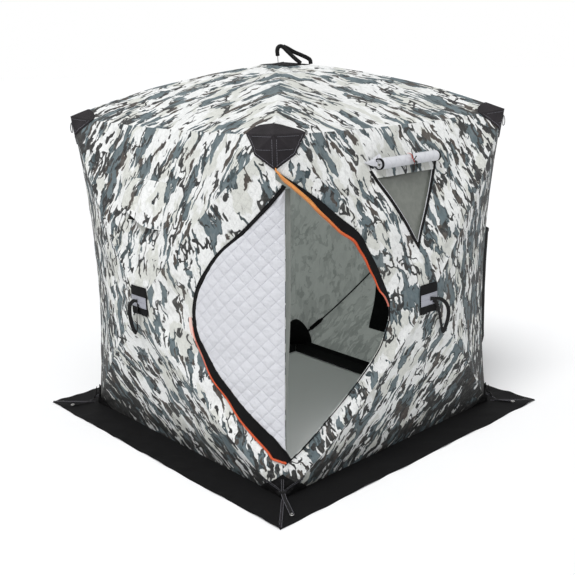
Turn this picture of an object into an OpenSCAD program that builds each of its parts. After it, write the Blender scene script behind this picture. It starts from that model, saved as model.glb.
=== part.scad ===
// Pop-up ice fishing shelter: a square cabin of insulated cloth, pushed outwards by a hub
// and bowed rods in each wall and in the roof, with a zipped door across its front corner.

/* [Cabin] */
// Half the width of the cabin at the ground
base_half = 900; // [750:10:1100]
// Half the width between the top corners
top_half = 921; // [780:1:1120]
// Height of the top corners
eave_h = 1870; // [1600:10:2100]
// Height of the cloth over the roof hub
peak_h = 2165; // [2000:5:2500]
// Distance of each wall hub's cloth from the middle of the cabin
hub_out = 1115; // [1000:5:1350]
// Height of each wall hub
hub_h = 920; // [800:10:1000]
// Thickness of the quilted cloth
cloth_t = 5; // [3:0.5:8]
// How far the rods in the walls bow outwards at their middle
pole_bow = 45; // [20:1:70]
// How far the rods in the roof bow upwards at their middle
roof_bow = 50; // [20:1:80]
// How far the tight cloth pulls each upright edge inwards
side_pull = 48; // [20:1:70]
// How far the tight cloth pulls each roof edge inwards
eave_pull = 45; // [20:1:70]
// How far each roof edge sags at its middle
eave_sag = 25; // [5:1:40]
// How far each wall sinks in between the hub and the ground
foot_pull = 20; // [0:1:40]

/* [Skirt] */
// Width of the skirt that lies on the ground all round
skirt_w = 225; // [120:5:300]
// Thickness of the skirt's cloth
skirt_t = 3; // [2:0.5:5]
// Height of the black hem inside the foot of the walls
hem_h = 60; // [30:5:120]
// Radius of each eyelet in the skirt's corners
eyelet_r = 11; // [8:0.5:16]
// Distance of each eyelet from the skirt's outer edges
eyelet_in = 45; // [30:1:70]

/* [Frame] */
// Radius of the bowed rods
rod_r = 5.5; // [4:0.5:8]
// Radius of each hub
hub_r = 42; // [34:1:60]
// Thickness of each hub
hub_t = 22; // [18:1:36]
// Length of the sleeve on each rod's corner end
sleeve_l = 110; // [60:5:180]
// Wall of that sleeve
sleeve_t = 3; // [2:0.5:5]
// Reach of the pockets that hold the rods in the corners
pocket_reach = 130; // [80:5:180]

/* [Door] */
// Height of the middle of the door
door_mid = 930; // [850:10:1000]
// Half the height of the door
door_half_h = 765; // [600:5:800]
// Half width of the door on the front wall
door_front_w = 500; // [350:10:560]
// Half width of the door on the right wall
door_right_w = 590; // [400:10:620]
// Roundness of the door's outline, where 2 is rounder and 1 is a diamond
door_round = 1.5; // [1.2:0.05:2]
// Distance of the flap's fold from the middle of the cabin, along X
fold_x = 905; // [890:1:940]
// Distance of the flap's fold from the middle of the cabin, along Y
fold_y = 845; // [820:1:870]
// Thickness of the quilted flap
flap_t = 9; // [5:0.5:14]
// How far the folded flap swells, as a share of its width
flap_swell = 0.08; // [0.06:0.01:0.12]
// Narrow gap between the door's left half and the wall, under the zip
door_gap = 3.4; // [3:0.2:8]
// Width of the zip tape
tape_w = 24; // [14:1:36]
// Thickness of the zip tape
tape_t = 2; // [1:0.5:3]

/* [Window] */
// Height of the window's upper edge
window_top = 1625; // [1500:5:1700]
// Height of the window's lower point
window_low = 1240; // [1150:5:1350]
// Half the width of the window's upper edge
window_half = 240; // [150:5:300]
// Sideways shift of the window's middle towards the door
window_shift = 54; // [0:1:90]
// Width of the black border on the window
border_w = 16; // [8:1:30]
// Radius of the rolled cover
roll_r = 29; // [20:1:40]
// How far the rolled cover reaches past each side of the window
roll_past = 20; // [0:1:40]
// Thickness of the window's film
film_t = 1.5; // [1:0.5:3]

/* [Vent] */
// Height of the vent hood's lower lip
vent_low = 1340; // [1250:5:1400]
// Height of the vent hood's upper seam
vent_top = 1580; // [1500:5:1650]
// Half the width of the vent hood
vent_half = 195; // [120:5:240]
// How far the hood's lip stands off the wall
vent_off = 48; // [20:1:70]
// Cloth left round the vent's hole, under the hood
vent_edge = 40; // [20:1:60]

/* [Trim] */
// Reach of the black cap on each top corner, along the eaves
cap_reach = 175; // [110:5:220]
// Reach of the cap's points along the rods
cap_point = 215; // [140:5:260]
// Reach of the black patch on each lower corner
base_reach = 135; // [90:5:180]
// Thickness of caps and patches
patch_t = 2; // [1:0.5:4]
// Half the width of the patch over each wall hub
hub_patch_half = 74; // [50:1:100]
// Half the height of the patch over each wall hub
hub_patch_half_h = 82; // [55:1:110]
// Thickness of the webbing
strap_t = 3; // [2:0.5:4]
// Width of the pull strap on each hub
strap_w = 24; // [15:1:35]
// Gap between the two sides of the pull strap's loop
strap_gap = 30; // [20:1:50]
// Drop of the pull strap's loop
strap_drop = 250; // [150:10:300]
// Reach of the carrying loop on the roof
handle_l = 165; // [110:5:220]
// Height of the carrying loop over the roof
handle_h = 100; // [60:1:130]
// Radius of the loop's upper bend
handle_bend = 32; // [20:1:45]
// Reach of the black patch over the roof hub
roof_patch_reach = 105; // [70:1:150]
// Width of the gear pocket outside the back wall
pocket_w = 330; // [200:10:420]
// Height of the gear pocket
pocket_h = 750; // [500:10:850]
// Depth of the gear pocket
pocket_d = 46; // [25:1:70]
// Height of the gear pocket's lower edge
pocket_z = 380; // [250:10:450]
// Distance of the gear pocket from the cabin's corner
pocket_in = 40; // [20:5:80]
// Width of the pocket inside the back wall
inner_w = 380; // [240:10:500]
// Height of the inner pocket
inner_h = 400; // [250:10:500]
// Height of the inner pocket's lower edge
inner_z = 240; // [150:10:300]
// Depth of the inner pocket
inner_d = 12; // [8:1:30]

/* [Hidden] */
// Clearance between a piece and what it lies against
gap = 0.3;
// Room left between a rod and the cloth that it carries
rod_room = 3;
// Steps of the cloth from a hub outwards and across
cloth_rows = 7;
cloth_cols = 8;
// Share of the way out at which the cloth stops round each hub
hub_share = 0.03;
// Clearance between the cloth and a skin sewn to it
skin = 0.9;
// Clearance of a large flat piece over the facets of the cloth
over_facets = 1.9;
// Clearance under a cap on a corner, and under a patch that crosses the cloth's ridges
over_corner = 2.5;
over_ridge = 3.2;
// Half of the gap along each seam between two gores
seam = 0.22;
// Steps of the door's outline
door_rows = 14;
// Roundness of the swell of the folded flap
swell_power = 0.8;
// Share of the way out at which a rod starts inside its hub, and at which it ends
rod_start = 0.022;
rod_end = 0.972;
// Names of the walls in order round the cabin, and of the four gores of each
SIDES = ["front", "right", "back", "left"];
EDGES = ["top", "bottom", "left", "right"];
above = eave_h - hub_h;
// Share of the way out at the middle of a rod's hold in its hub
seat_share = (rod_start + hub_r / (sqrt(2) * top_half)) / 2;

// Half the width of a wall between its upright edges, without the pull of the cloth
function half_at(z) = base_half + (top_half - base_half) * z / eave_h;

// Height as a share of the way from the hub to the eave or to the ground
function share_at(z) = (z - hub_h) / (z > hub_h ? above : hub_h);

// Half the width of a wall at the upright edge, which the tight cloth pulls inwards
function edge_half(z) = half_at(z) - side_pull * (1 - pow(share_at(z), 2));

// Rise of the eave above the hub, which sags towards its middle
function eave_rise(p) = above - eave_sag * (1 - pow(p / top_half, 2));

// Distance of the cloth from the middle of the cabin, s of the way out from the hub
function cloth_out(s, w, z, pull) =
    hub_out * (1 - s) + s * half_at(z) + 4 * pole_bow * s * (1 - s) - pull * s * s * (1 - w * w);

// A point of the wall's outer face as [along, out, up]. s runs from the hub to the edge and
// w across the gore from one rod to the next, and inset moves the point into the cloth.
function side_point(hand, s, w, inset) =
    let (z0 = hub_h + w * s * (w > 0 ? above : hub_h))
    let (p = s * edge_half(z0))
    let (z = hub_h + w * s * (w > 0 ? eave_rise(p) : hub_h))
    [hand * (p - inset * s),
     cloth_out(s, w, z0, side_pull) - inset,
     z - inset * max(0, w) * s];

function top_point(s, w, inset) =
    let (z0 = hub_h + s * above)
    let (p = w * s * edge_half(z0))
    [p - inset * w * s,
     cloth_out(s, w, z0, eave_pull) - inset,
     hub_h + s * eave_rise(p) - inset * s];

function bottom_point(s, w, inset) =
    let (z0 = hub_h - s * hub_h)
    let (p = w * s * edge_half(z0))
    [p - inset * w * s,
     cloth_out(s, w, z0, 0) - 4 * foot_pull * s * (1 - s) * (1 - w * w) - inset,
     z0];

function roof_point(s, w, inset) = [
    w * s * (top_half - inset),
    s * top_half - eave_pull * s * s * (1 - w * w) - inset * s,
    peak_h - s * (peak_h - eave_h) + 4 * roof_bow * s * (1 - s)
        - eave_sag * s * s * (1 - w * w) - inset
];

// Share of a gore's width that leaves half a seam's gap on both of its sides
function within_seams(s) = 1 - seam / (s * base_half);

function edge_point(edge, s, w, inset) =
    edge == "top" ? top_point(s, w, inset) :
    edge == "bottom" ? bottom_point(s, w, inset) :
    edge == "left" ? side_point(-1, s, w, inset) : side_point(1, s, w, inset);

// The same face by place along the wall and height: [s, w, edge] and the point there
function place(p, z) =
    let (across = abs(p) / edge_half(z))
    let (up = z > hub_h ? (z - hub_h) / eave_rise(p) : (hub_h - z) / hub_h)
    let (s = max(across, up, 0.0001))
    let (tall = up > across)
    [s,
     tall ? p / edge_half(z) / s : (z > hub_h ? up : -up) / s,
     tall ? (z > hub_h ? "top" : "bottom") : (p < 0 ? "left" : "right")];

function wall_out(p, z) =
    let (at = place(p, z))
    edge_point(at[2], at[0], at[1], 0)[1];

// Width of the door at a height, measured from the corner along the wall
function door_w_at(z, w) = w * (1 - pow(min(1, abs(z - door_mid) / door_half_h), door_round));

// Turns a wall's own [along, out, up] into the cabin's frame
function turned(side, v) =
    side == "front" ? [v[0], -v[1], v[2]] :
    side == "right" ? [v[1], v[0], v[2]] :
    side == "back" ? [-v[0], v[1], v[2]] : [-v[1], -v[0], v[2]];

// A closed solid between two grids of points with the same rows and columns
module shell(outer, inner) {
    rows = len(outer) - 1;
    cols = len(outer[0]) - 1;
    n = (rows + 1) * (cols + 1);
    function at(i, j) = i * (cols + 1) + j;
    points = concat([for (row = outer) each row], [for (row = inner) each row]);
    faces = concat(
        [for (i = [0:rows - 1]) for (j = [0:cols - 1]) each [
            [at(i, j), at(i, j + 1), at(i + 1, j + 1)],
            [at(i, j), at(i + 1, j + 1), at(i + 1, j)],
            [n + at(i, j), n + at(i + 1, j + 1), n + at(i, j + 1)],
            [n + at(i, j), n + at(i + 1, j), n + at(i + 1, j + 1)]
        ]],
        [for (i = [0:rows - 1]) each [
            [at(i, 0), at(i + 1, 0), n + at(i + 1, 0)],
            [at(i, 0), n + at(i + 1, 0), n + at(i, 0)],
            [at(i + 1, cols), at(i, cols), n + at(i + 1, cols)],
            [at(i, cols), n + at(i, cols), n + at(i + 1, cols)]
        ]],
        [for (j = [0:cols - 1]) each [
            [at(0, j + 1), at(0, j), n + at(0, j)],
            [at(0, j + 1), n + at(0, j), n + at(0, j + 1)],
            [at(rows, j), at(rows, j + 1), n + at(rows, j + 1)],
            [at(rows, j), n + at(rows, j + 1), n + at(rows, j)]
        ]]
    );
    polyhedron(points, faces, convexity = 6);
}

function steps(n, low, high) = [for (i = [0:n]) low + (high - low) * i / n];

// Which way a gore's grid runs, so that its faces look outwards
function turn_of(edge) = edge == "top" || edge == "left" ? -1 : 1;

// One gore of cloth between two rods, in the cabin's frame
module gore(side, edge) {
    spans = steps(cloth_rows, hub_share, edge == "bottom" ? 1 : 1 - seam / base_half);
    across = steps(cloth_cols, -turn_of(edge), turn_of(edge));
    function row(s, inset) =
        [for (w = across) turned(side, edge_point(edge, s, w * within_seams(s), inset))];
    shell([for (s = spans) row(s, 0)], [for (s = spans) row(s, cloth_t)]);
}

// Where the door's outline crosses a side gore: [w, share of the way out] by height
function door_crossing(z, door_w) =
    let (at = place(edge_half(z) - door_w_at(z, door_w), z))
    [at[1], min(1, at[0])];

// Heights along the door's outline, closer together towards its ends
function door_heights(n, reach) =
    [for (i = [0:n]) door_mid - door_half_h * reach * cos(180 * i / n)];

function backwards(list) = [for (i = [len(list) - 1:-1:0]) list[i]];

// The side gore next to the door, from the hub to the door's outline and the corner
module door_gore(side, hand, door_w) {
    outline = [for (z = door_heights(door_rows, 1)) door_crossing(z, door_w)];
    columns = concat([[-1, 1]], outline, [[1, 1]]);
    ordered = hand < 0 ? backwards(columns) : columns;
    shares = steps(cloth_rows, 0, 1);
    last = 1 - seam / base_half;
    function out(t, c) = hub_share + t * (min(last, c[1]) - hub_share);
    function row(t, inset) =
        [for (c = ordered)
            turned(side, side_point(hand, out(t, c), c[0] * within_seams(out(t, c)), inset))];
    shell([for (t = shares) row(t, 0)], [for (t = shares) row(t, cloth_t)]);
}

// A skin on a wall's outer face between two heights, given its half width, its middle and
// how far its two faces stand off the cloth
module skin_patch(side, mid, half, low, high, near, far, nz = 4, np = 4) {
    rows = steps(nz, low, high);
    cols = far > near ? steps(np, mid + half, mid - half) : steps(np, mid - half, mid + half);
    function row(z, off) = [for (p = cols) turned(side, [p, wall_out(p, z) + off, z])];
    shell([for (z = rows) row(z, far)], [for (z = rows) row(z, near)]);
}

// A triangular opening or skin outline in a wall's [along, up] plane
function window_outline(grow) = [
    [-window_shift - window_half - 1.9 * grow, window_top + grow],
    [-window_shift + window_half + 1.9 * grow, window_top + grow],
    [-window_shift, window_low - 2 * grow]
];

// Places a flat outline, drawn as [along, up], on a side, with its thickness outwards
module on_side(side) {
    turn = side == "front" ? 0 : side == "right" ? 90 : side == "back" ? 180 : 270;
    rotate([0, 0, turn])
        rotate([90, 0, 0])
            children();
}

// A cutter through a wall, from well inside it to well outside, with a given outline
module wall_cutter(side) {
    on_side(side)
        translate([0, 0, hub_out / 2])
            linear_extrude(hub_out)
                children();
}

module window_cutter(side) {
    wall_cutter(side)
        polygon(window_outline(0));
}

module vent_cutter(side) {
    wall_cutter(side)
        translate([-vent_half + vent_edge, vent_low + vent_edge / 2])
            square([2 * (vent_half - vent_edge), (vent_top - vent_low) / 2]);
}

// A wall's upper gore with its window or its vent cut through
module upper_gore(side) {
    difference() {
        gore(side, "top");
        if (side == "right" || side == "left") window_cutter(side);
        if (side == "front" || side == "back") vent_cutter(side);
    }
}

module wall_piece(side, edge) {
    color("gainsboro")
        if (edge == "top") upper_gore(side);
        else if (side == "front" && edge == "right") door_gore(side, 1, door_front_w);
        else if (side == "right" && edge == "left") door_gore(side, -1, door_right_w);
        else gore(side, edge);
}

module roof_piece(side) {
    spans = steps(cloth_rows, hub_share, 1 - seam / base_half);
    across = steps(cloth_cols, 1, -1);
    function row(s, inset) =
        [for (w = across) turned(side, roof_point(s, w * within_seams(s), inset))];
    color("whitesmoke")
        shell([for (s = spans) row(s, 0)], [for (s = spans) row(s, cloth_t)]);
}

// One side of the skirt, mitred to its neighbours. It starts just clear of the leaning wall.
module skirt_piece(side) {
    inner = bottom_point(1 - skirt_t / hub_h, 0, 0)[1] + gap;
    outer = base_half + skirt_w;
    color("dimgray")
        on_side(side)
            rotate([-90, 0, 0])
                linear_extrude(skirt_t)
                    polygon([[-inner, -inner], [inner, -inner], [outer, -outer], [-outer, -outer]]);
}

// Rods

function unit(v) = v / norm(v);

// A tube bent to the circle through three points
module bent_rod(a, m, b, r) {
    n = unit(cross(m - a, b - a));
    u = unit(b - a);
    v = cross(n, u);
    half = norm(b - a) / 2;
    mid = (a + b) / 2;
    rise = abs((m - mid) * v);
    big = half * half / (2 * rise) + rise / 2;
    up = (m - mid) * v > 0 ? 1 : -1;
    centre = mid + v * up * (rise - big);
    start = unit(a - centre);
    across = cross(n, start);
    sweep = 2 * asin(half / big);
    turn = (b - centre) * across > 0 ? 1 : -1;
    side = across * turn;
    axis = cross(start, side);
    multmatrix([
        [start[0], side[0], axis[0], centre[0]],
        [start[1], side[1], axis[1], centre[1]],
        [start[2], side[2], axis[2], centre[2]],
        [0, 0, 0, 1]
    ])
        rotate_extrude(angle = sweep, $fn = 180)
            translate([big, 0])
                circle(r, $fn = 24);
}

// How much higher the cloth is over a rod's seat than at the lowest place over the hub
roof_dip = roof_point(seat_share, 1, 0)[2] - min(peak_h, roof_point(hub_r / top_half, 0, 0)[2]);
wall_dip = top_point(seat_share, 1, 0)[1]
    - min(hub_out, side_point(1, hub_r / edge_half(hub_h), 0, 0)[1],
          bottom_point(hub_r / hub_h, 0, 0)[1]);

// Depth of a rod's middle line under the cloth, so that its hub fits under the cloth too
function rod_inset(edge) = max(
    cloth_t + rod_room + sleeve_t + rod_r,
    cloth_t + over_ridge + hub_t / 2 + (edge == "roof" ? roof_dip : wall_dip));

// The middle line of a rod: edge is top or bottom in a wall, and roof overhead
function rod_point(side, edge, hand, s) = turned(side,
    edge == "roof" ? roof_point(s, 1, rod_inset(edge)) :
    edge == "top" ? top_point(s, hand, rod_inset(edge)) :
    bottom_point(s, hand, rod_inset(edge)));

module rod_body(side, edge, hand, extra = 0) {
    function at(s) = rod_point(side, edge, hand, s);
    bent_rod(at(rod_start), at((rod_start + rod_end) / 2), at(rod_end), rod_r + extra);
}

// The sleeve on a rod's end, which slides into a corner pocket
module rod_sleeve(side, edge, hand, extra = 0) {
    function at(s) = rod_point(side, edge, hand, s);
    length = norm(at(rod_end) - at(rod_start));
    from = rod_end - sleeve_l / length;
    to = rod_end + extra / length;
    bent_rod(at(from), at((from + to) / 2), at(to), rod_r + sleeve_t + extra);
}

module rod(side, edge, hand) {
    rod_body(side, edge, hand);
    rod_sleeve(side, edge, hand);
}

module wall_rods(side) {
    color("black")
        for (edge = ["top", "bottom"])
            for (hand = [-1, 1])
                rod(side, edge, hand);
}

module roof_rods() {
    color("black")
        for (side = SIDES)
            rod(side, "roof", 1);
}

// Moulded hub with a boss inside, which holds the ends of four rods
module hub_body() {
    rotate_extrude($fn = 64)
        polygon([
            [0, -hub_t * 0.85], [hub_r * 0.42, -hub_t * 0.85], [hub_r * 0.5, -hub_t / 2],
            [hub_r * 0.94, -hub_t / 2], [hub_r, -hub_t * 0.4], [hub_r, hub_t * 0.4],
            [hub_r * 0.94, hub_t / 2], [0, hub_t / 2]
        ]);
}

module wall_hub(side) {
    seat = top_point(seat_share, 1, rod_inset("top"))[1];
    difference() {
        on_side(side)
            translate([0, hub_h, seat])
                hub_body();
        for (edge = ["top", "bottom"])
            for (hand = [-1, 1])
                rod_body(side, edge, hand, gap);
    }
}

module roof_hub() {
    difference() {
        translate([0, 0, roof_point(seat_share, 1, rod_inset("roof"))[2]])
            hub_body();
        for (side = SIDES)
            rod_body(side, "roof", 1, gap);
    }
}

module hubs() {
    color("black") {
        for (side = SIDES) wall_hub(side);
        roof_hub();
    }
}

// A convex wedge with four corners given as points
module wedge(c, v, e, f) {
    flip = cross(v - c, e - c) * (f - c) > 0;
    polyhedron([c, v, e, f], flip
        ? [[0, 1, 2], [0, 2, 3], [0, 3, 1], [1, 3, 2]]
        : [[0, 2, 1], [0, 3, 2], [0, 1, 3], [1, 2, 3]]);
}

function next_side(k) = SIDES[(k + 1) % 4];

// Pockets sewn into the upper and lower corners, which the rods' ends push into
module corner_pocket(k, upper) {
    here = SIDES[k];
    deep = cloth_t + skin;
    s = upper ? 1 - pocket_reach / top_half : 1 - pocket_reach / base_half;
    tip = turned(here, side_point(1, 1, upper ? 1 : -1, deep));
    post = turned(here, side_point(1, 1, upper ? s : -s, deep));
    run_a = turned(here, upper ? top_point(1, s, deep) : bottom_point(1, s, deep));
    run_b = turned(next_side(k), upper ? top_point(1, -s, deep) : bottom_point(1, -s, deep));
    lift = upper ? [0, 0, 0] : [0, 0, skirt_t];
    difference() {
        wedge(tip + lift, post, run_a + lift, run_b + lift);
        rod_sleeve(here, upper ? "top" : "bottom", 1, gap);
        rod_sleeve(next_side(k), upper ? "top" : "bottom", -1, gap);
        if (upper) rod_sleeve(here, "roof", 1, gap);
    }
}

module corner_pockets() {
    color("black")
        for (k = [0:3]) for (upper = [true, false]) corner_pocket(k, upper);
}

// A fan of cloth round a corner, from its middle to a ring of points, with its thickness
module fan(middle, ring, middle_in, ring_in, closed) {
    n = len(ring);
    last = closed ? n - 1 : n - 2;
    outer = concat([middle], ring);
    inner = concat([middle_in], ring_in);
    m = n + 1;
    faces = concat(
        [for (i = [0:last]) [0, 1 + i, 1 + (i + 1) % n]],
        [for (i = [0:last]) [m, m + 1 + (i + 1) % n, m + 1 + i]],
        [for (i = [0:last]) each [
            [1 + i, m + 1 + i, m + 1 + (i + 1) % n],
            [1 + i, m + 1 + (i + 1) % n, 1 + (i + 1) % n]
        ]],
        closed ? [] : [
            [0, m, m + 1], [0, m + 1, 1],
            [0, n, m + n], [0, m + n, m]
        ]
    );
    polyhedron(concat(outer, inner), faces);
}

cap_share = 1 - cap_reach / top_half;
cap_side_share = 1 - cap_reach / above;
cap_rod_share = 1 - cap_point / norm([top_half, above]);
cap_roof_share = 1 - cap_point / (sqrt(2) * top_half);

function cap_ring(k, inset) = [
    turned(SIDES[k], side_point(1, 1, cap_side_share, inset)),
    turned(SIDES[k], top_point(cap_rod_share, 1, inset)),
    turned(SIDES[k], top_point(1, cap_share, inset)),
    turned(SIDES[k], roof_point(cap_roof_share, 1, inset)),
    turned(next_side(k), top_point(1, -cap_share, inset)),
    turned(next_side(k), top_point(cap_rod_share, -1, inset))
];

// Black caps over the four upper corners
module corner_caps() {
    near = -over_corner;
    far = near - patch_t;
    color("black")
        for (k = [0:3])
            fan(turned(SIDES[k], top_point(1, 1, far)), cap_ring(k, far),
                turned(SIDES[k], top_point(1, 1, near)), cap_ring(k, near), true);
}

base_share = 1 - base_reach / base_half;
base_rod_share = 1 - base_reach / norm([base_half, hub_h]);
base_rise = 1 - (skirt_t + skin) / hub_h;

function base_ring(k, inset) = [
    turned(SIDES[k], bottom_point(base_rise, base_share, inset)),
    turned(SIDES[k], bottom_point(base_rod_share, 1, inset)),
    turned(SIDES[k], side_point(1, 1, -base_share, inset)),
    turned(next_side(k), bottom_point(base_rod_share, -1, inset)),
    turned(next_side(k), bottom_point(base_rise, -base_share, inset))
];

// Black patches over the four lower corners
module base_patches() {
    near = -over_ridge;
    far = near - patch_t;
    color("black")
        for (k = [0:3])
            fan(turned(SIDES[k], side_point(1, 1, -base_rise, far)), base_ring(k, far),
                turned(SIDES[k], side_point(1, 1, -base_rise, near)), base_ring(k, near), false);
}

// Black hem sewn inside the foot of each wall, between the corners' pockets
module ground_hem() {
    spans = steps(2, 1 - hem_h / hub_h, 1 - (skirt_t + skin) / hub_h);
    reach = 1 - (pocket_reach + rod_inset("bottom")) / base_half;
    across = steps(cloth_cols, -reach, reach);
    near = cloth_t + over_facets;
    function row(side, s, inset) = [for (w = across) turned(side, bottom_point(s, w, inset))];
    color("black")
        for (side = SIDES)
            shell([for (s = spans) row(side, s, near)],
                [for (s = spans) row(side, s, near + patch_t)]);
}

// Door

// The flap's fold, which runs into the door's upper and lower ends
function fold_point(z) =
    let (corner = [edge_half(z), -edge_half(z)])
    let (run = [fold_x, -fold_y] - corner)
    let (share = min(1, 0.75 * door_w_at(z, door_right_w) / norm(run)))
    [corner[0] + run[0] * share, corner[1] + run[1] * share, z];

// A point of the door's outline on a wall, as [distance from the hub's line, height], moved by
// off away from the door
function arc_point(z, door_w, off) =
    let (a = [edge_half(z - 1) - door_w_at(z - 1, door_w), -1])
    let (b = [edge_half(z + 1) - door_w_at(z + 1, door_w), 1])
    let (run = unit(b - a))
    [(a[0] + b[0]) / 2 - off * run[1], z + off * run[0]];

// The door's sheet from the flap's fold to its outline on the front wall, at one height. Its end
// is moved by reach away from the door, and out of the wall by lift. It swells outwards from the
// straight line between the two, and stands off it by off.
function door_sheet(z, reach, lift, off) =
    let (from = fold_point(z))
    let (at = arc_point(z, door_front_w, reach))
    let (to = turned("front", [at[0], wall_out(at[0], at[1]) + lift, at[1]]))
    let (run = [to[0] - from[0], to[1] - from[1]])
    let (wide = norm(run))
    let (out = [-run[1], run[0]] / wide)
    [for (t = steps(8, 0, 1))
        let (d = off + wide * flap_swell * pow(sin(180 * t), swell_power))
        [from[0] + run[0] * t + out[0] * d, from[1] + run[1] * t + out[1] * d,
         from[2] + (to[2] - from[2]) * t]];

flap_heights = door_heights(door_rows, 0.95);

// The left half of the door, still zipped to the front wall, out to the flap's fold
module door_left_half() {
    color("gainsboro")
        shell([for (z = flap_heights) door_sheet(z, -door_gap, 0, 0)],
            [for (z = flap_heights) door_sheet(z, -door_gap, 0, -cloth_t)]);
}

// The right half of the door, unzipped and folded back over the left half, lining outwards
module door_flap() {
    lift = skin + tape_t;
    color("lavender")
        shell([for (z = flap_heights) door_sheet(z, 0, lift, skin + flap_t)],
            [for (z = flap_heights) door_sheet(z, 0, lift, skin)]);
}

// The zip's tape round the open half of the door, sewn to the right wall
module door_zip() {
    heights = door_heights(door_rows, 0.95);
    function row(z, off) =
        [for (reach = [tape_w, 0])
            let (at = arc_point(z, door_right_w, reach))
            turned("right", [-at[0], wall_out(-at[0], at[1]) + off, at[1]])];
    color("black")
        shell([for (z = heights) row(z, over_facets + tape_t)],
            [for (z = heights) row(z, over_facets)]);
}

// Windows, in the right wall and in the left wall behind

module window_skin(side, grow, near, far) {
    rows = steps(6, 0.04, 1);
    cols = steps(6, 1, -1);
    o = window_outline(grow);
    function row(t, off) =
        let (z = o[2][1] + (o[0][1] - o[2][1]) * t)
        let (half = (o[1][0] + window_shift) * t)
        [for (c = cols)
            let (p = -window_shift + c * half)
            turned(side, [p, wall_out(p, z) + off, z])];
    shell([for (t = rows) row(t, far)], [for (t = rows) row(t, near)]);
}

// Clear film behind each window
module window_films() {
    color("slategray", 0.5)
        for (side = ["right", "left"])
            window_skin(side, border_w, -cloth_t - over_ridge - film_t, -cloth_t - over_ridge);
}

// Black border sewn round each window
module window_borders() {
    color("black")
        for (side = ["right", "left"])
            difference() {
                window_skin(side, border_w, skin, skin + patch_t);
                window_cutter(side);
            }
}

// Rolled-up window cover, held over the window
module window_cover_rolls() {
    half = window_half + roll_past;
    z = window_top + border_w + roll_r + gap;
    end = -window_shift - half;
    lean = (wall_out(end, z - roll_r) - wall_out(end, z + roll_r)) / (2 * roll_r);
    off = wall_out(end, z) + (roll_r + gap) * norm([1, lean]);
    color("white")
        for (side = ["right", "left"])
            on_side(side)
                translate([end, z, off])
                    rotate([0, 90, 0])
                        cylinder(h = 2 * half, r = roll_r, $fn = 48);
}

// Hoods over the vents in the front wall and in the back wall
module vent_hoods() {
    rows = steps(5, 0, 1);
    cols = steps(8, 1, -1);
    function lift(t, c) = vent_off * (1 - pow(t, 1.6)) * (1 - pow(abs(c), 3));
    function row(t, off) =
        let (z = vent_low + (vent_top - vent_low) * t)
        [for (c = cols)
            let (p = c * vent_half * (0.86 + 0.14 * t))
            [p, wall_out(p, z) + skin + off + lift(t, c), z]];
    color("gainsboro")
        for (side = ["front", "back"])
            shell([for (t = rows) [for (v = row(t, patch_t)) turned(side, v)]],
                [for (t = rows) [for (v = row(t, 0)) turned(side, v)]]);
}

// Patches and straps on the wall hubs

module hub_patches() {
    color("dimgray")
        for (side = SIDES)
            skin_patch(side, 0, hub_patch_half, hub_h - hub_patch_half_h,
                hub_h + hub_patch_half_h, over_ridge, over_ridge + patch_t);
}

// A loop of webbing that hangs from each wall hub
module pull_straps() {
    lie = hub_out + over_ridge + patch_t + gap;
    color("black")
        for (side = SIDES)
            on_side(side)
                translate([0, hub_h, lie])
                    linear_extrude(patch_t)
                        difference() {
                            strap_outline(strap_gap / 2 + strap_w);
                            strap_outline(strap_gap / 2);
                        }
}

module strap_outline(half) {
    drop = strap_drop - strap_gap / 2 - strap_w;
    translate([-half, -drop])
        square([2 * half, drop]);
    translate([0, -drop])
        circle(half, $fn = 48);
    circle(half, $fn = 48);
}

// Roof

module roof_patch() {
    across = steps(4, 1, -1);
    spans = steps(2, 0.004, roof_patch_reach / top_half);
    function row(side, s, inset) =
        [for (w = across) turned(side, roof_point(s, w * within_seams(s), inset))];
    color("black")
        for (side = SIDES)
            shell([for (s = spans) row(side, s, -skin - patch_t)],
                [for (s = spans) row(side, s, -skin)]);
}

// Height of the roof's ridge at a distance from the middle, along a diagonal
function ridge_h(r) = roof_point(r / (sqrt(2) * top_half), 1, 0)[2];

// A loop of webbing on the roof. It rises from its foot on a ridge, over the roof hub, and
// bends down at its free end.
module roof_handle() {
    // The slanting strap's cut end stands on its lower corner
    foot = ridge_h(handle_l) + 0.8 * strap_t;
    rise = peak_h + handle_h - handle_bend - foot;
    reach = norm([handle_l, rise]);
    slant = atan2(rise, handle_l) + asin(handle_bend / reach);
    run = sqrt(reach * reach - handle_bend * handle_bend);
    color("black")
        rotate([0, 0, 45])
            translate([0, strap_w, 0])
                rotate([90, 0, 0])
                    linear_extrude(2 * strap_w) {
                        translate([handle_l, foot])
                            rotate([0, 0, 180 - slant])
                                square([run, strap_t]);
                        translate([0, foot + rise])
                            rotate([0, 0, 90 - slant])
                                bend_outline();
                    }
}

// Half a ring, from its right round its upper side to its left
module bend_outline() {
    size = 4 * handle_bend;
    difference() {
        circle(handle_bend, $fn = 72);
        circle(handle_bend - strap_t, $fn = 72);
        translate([-size / 2, -size])
            square(size);
    }
}

// Pockets

module gear_pocket() {
    mid = base_half - pocket_in - pocket_w / 2;
    color("black")
        skin_patch("back", -mid, pocket_w / 2, pocket_z, pocket_z + pocket_h,
            over_facets, over_facets + pocket_d, 6, 4);
}

module inner_pocket() {
    near = -cloth_t - over_facets;
    color("black")
        skin_patch("back", 0, inner_w / 2, inner_z, inner_z + inner_h, near, near - inner_d, 5, 6);
}

module skirt_eyelets() {
    at = base_half + skirt_w - eyelet_in;
    color("silver")
        for (x = [-1, 1]) for (y = [-1, 1])
            translate([x * at, y * at, skirt_t + gap])
                difference() {
                    cylinder(h = patch_t, r = eyelet_r, $fn = 48);
                    translate([0, 0, -gap])
                        cylinder(h = patch_t + 2 * gap, r = eyelet_r / 2, $fn = 48);
                }
}

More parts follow.
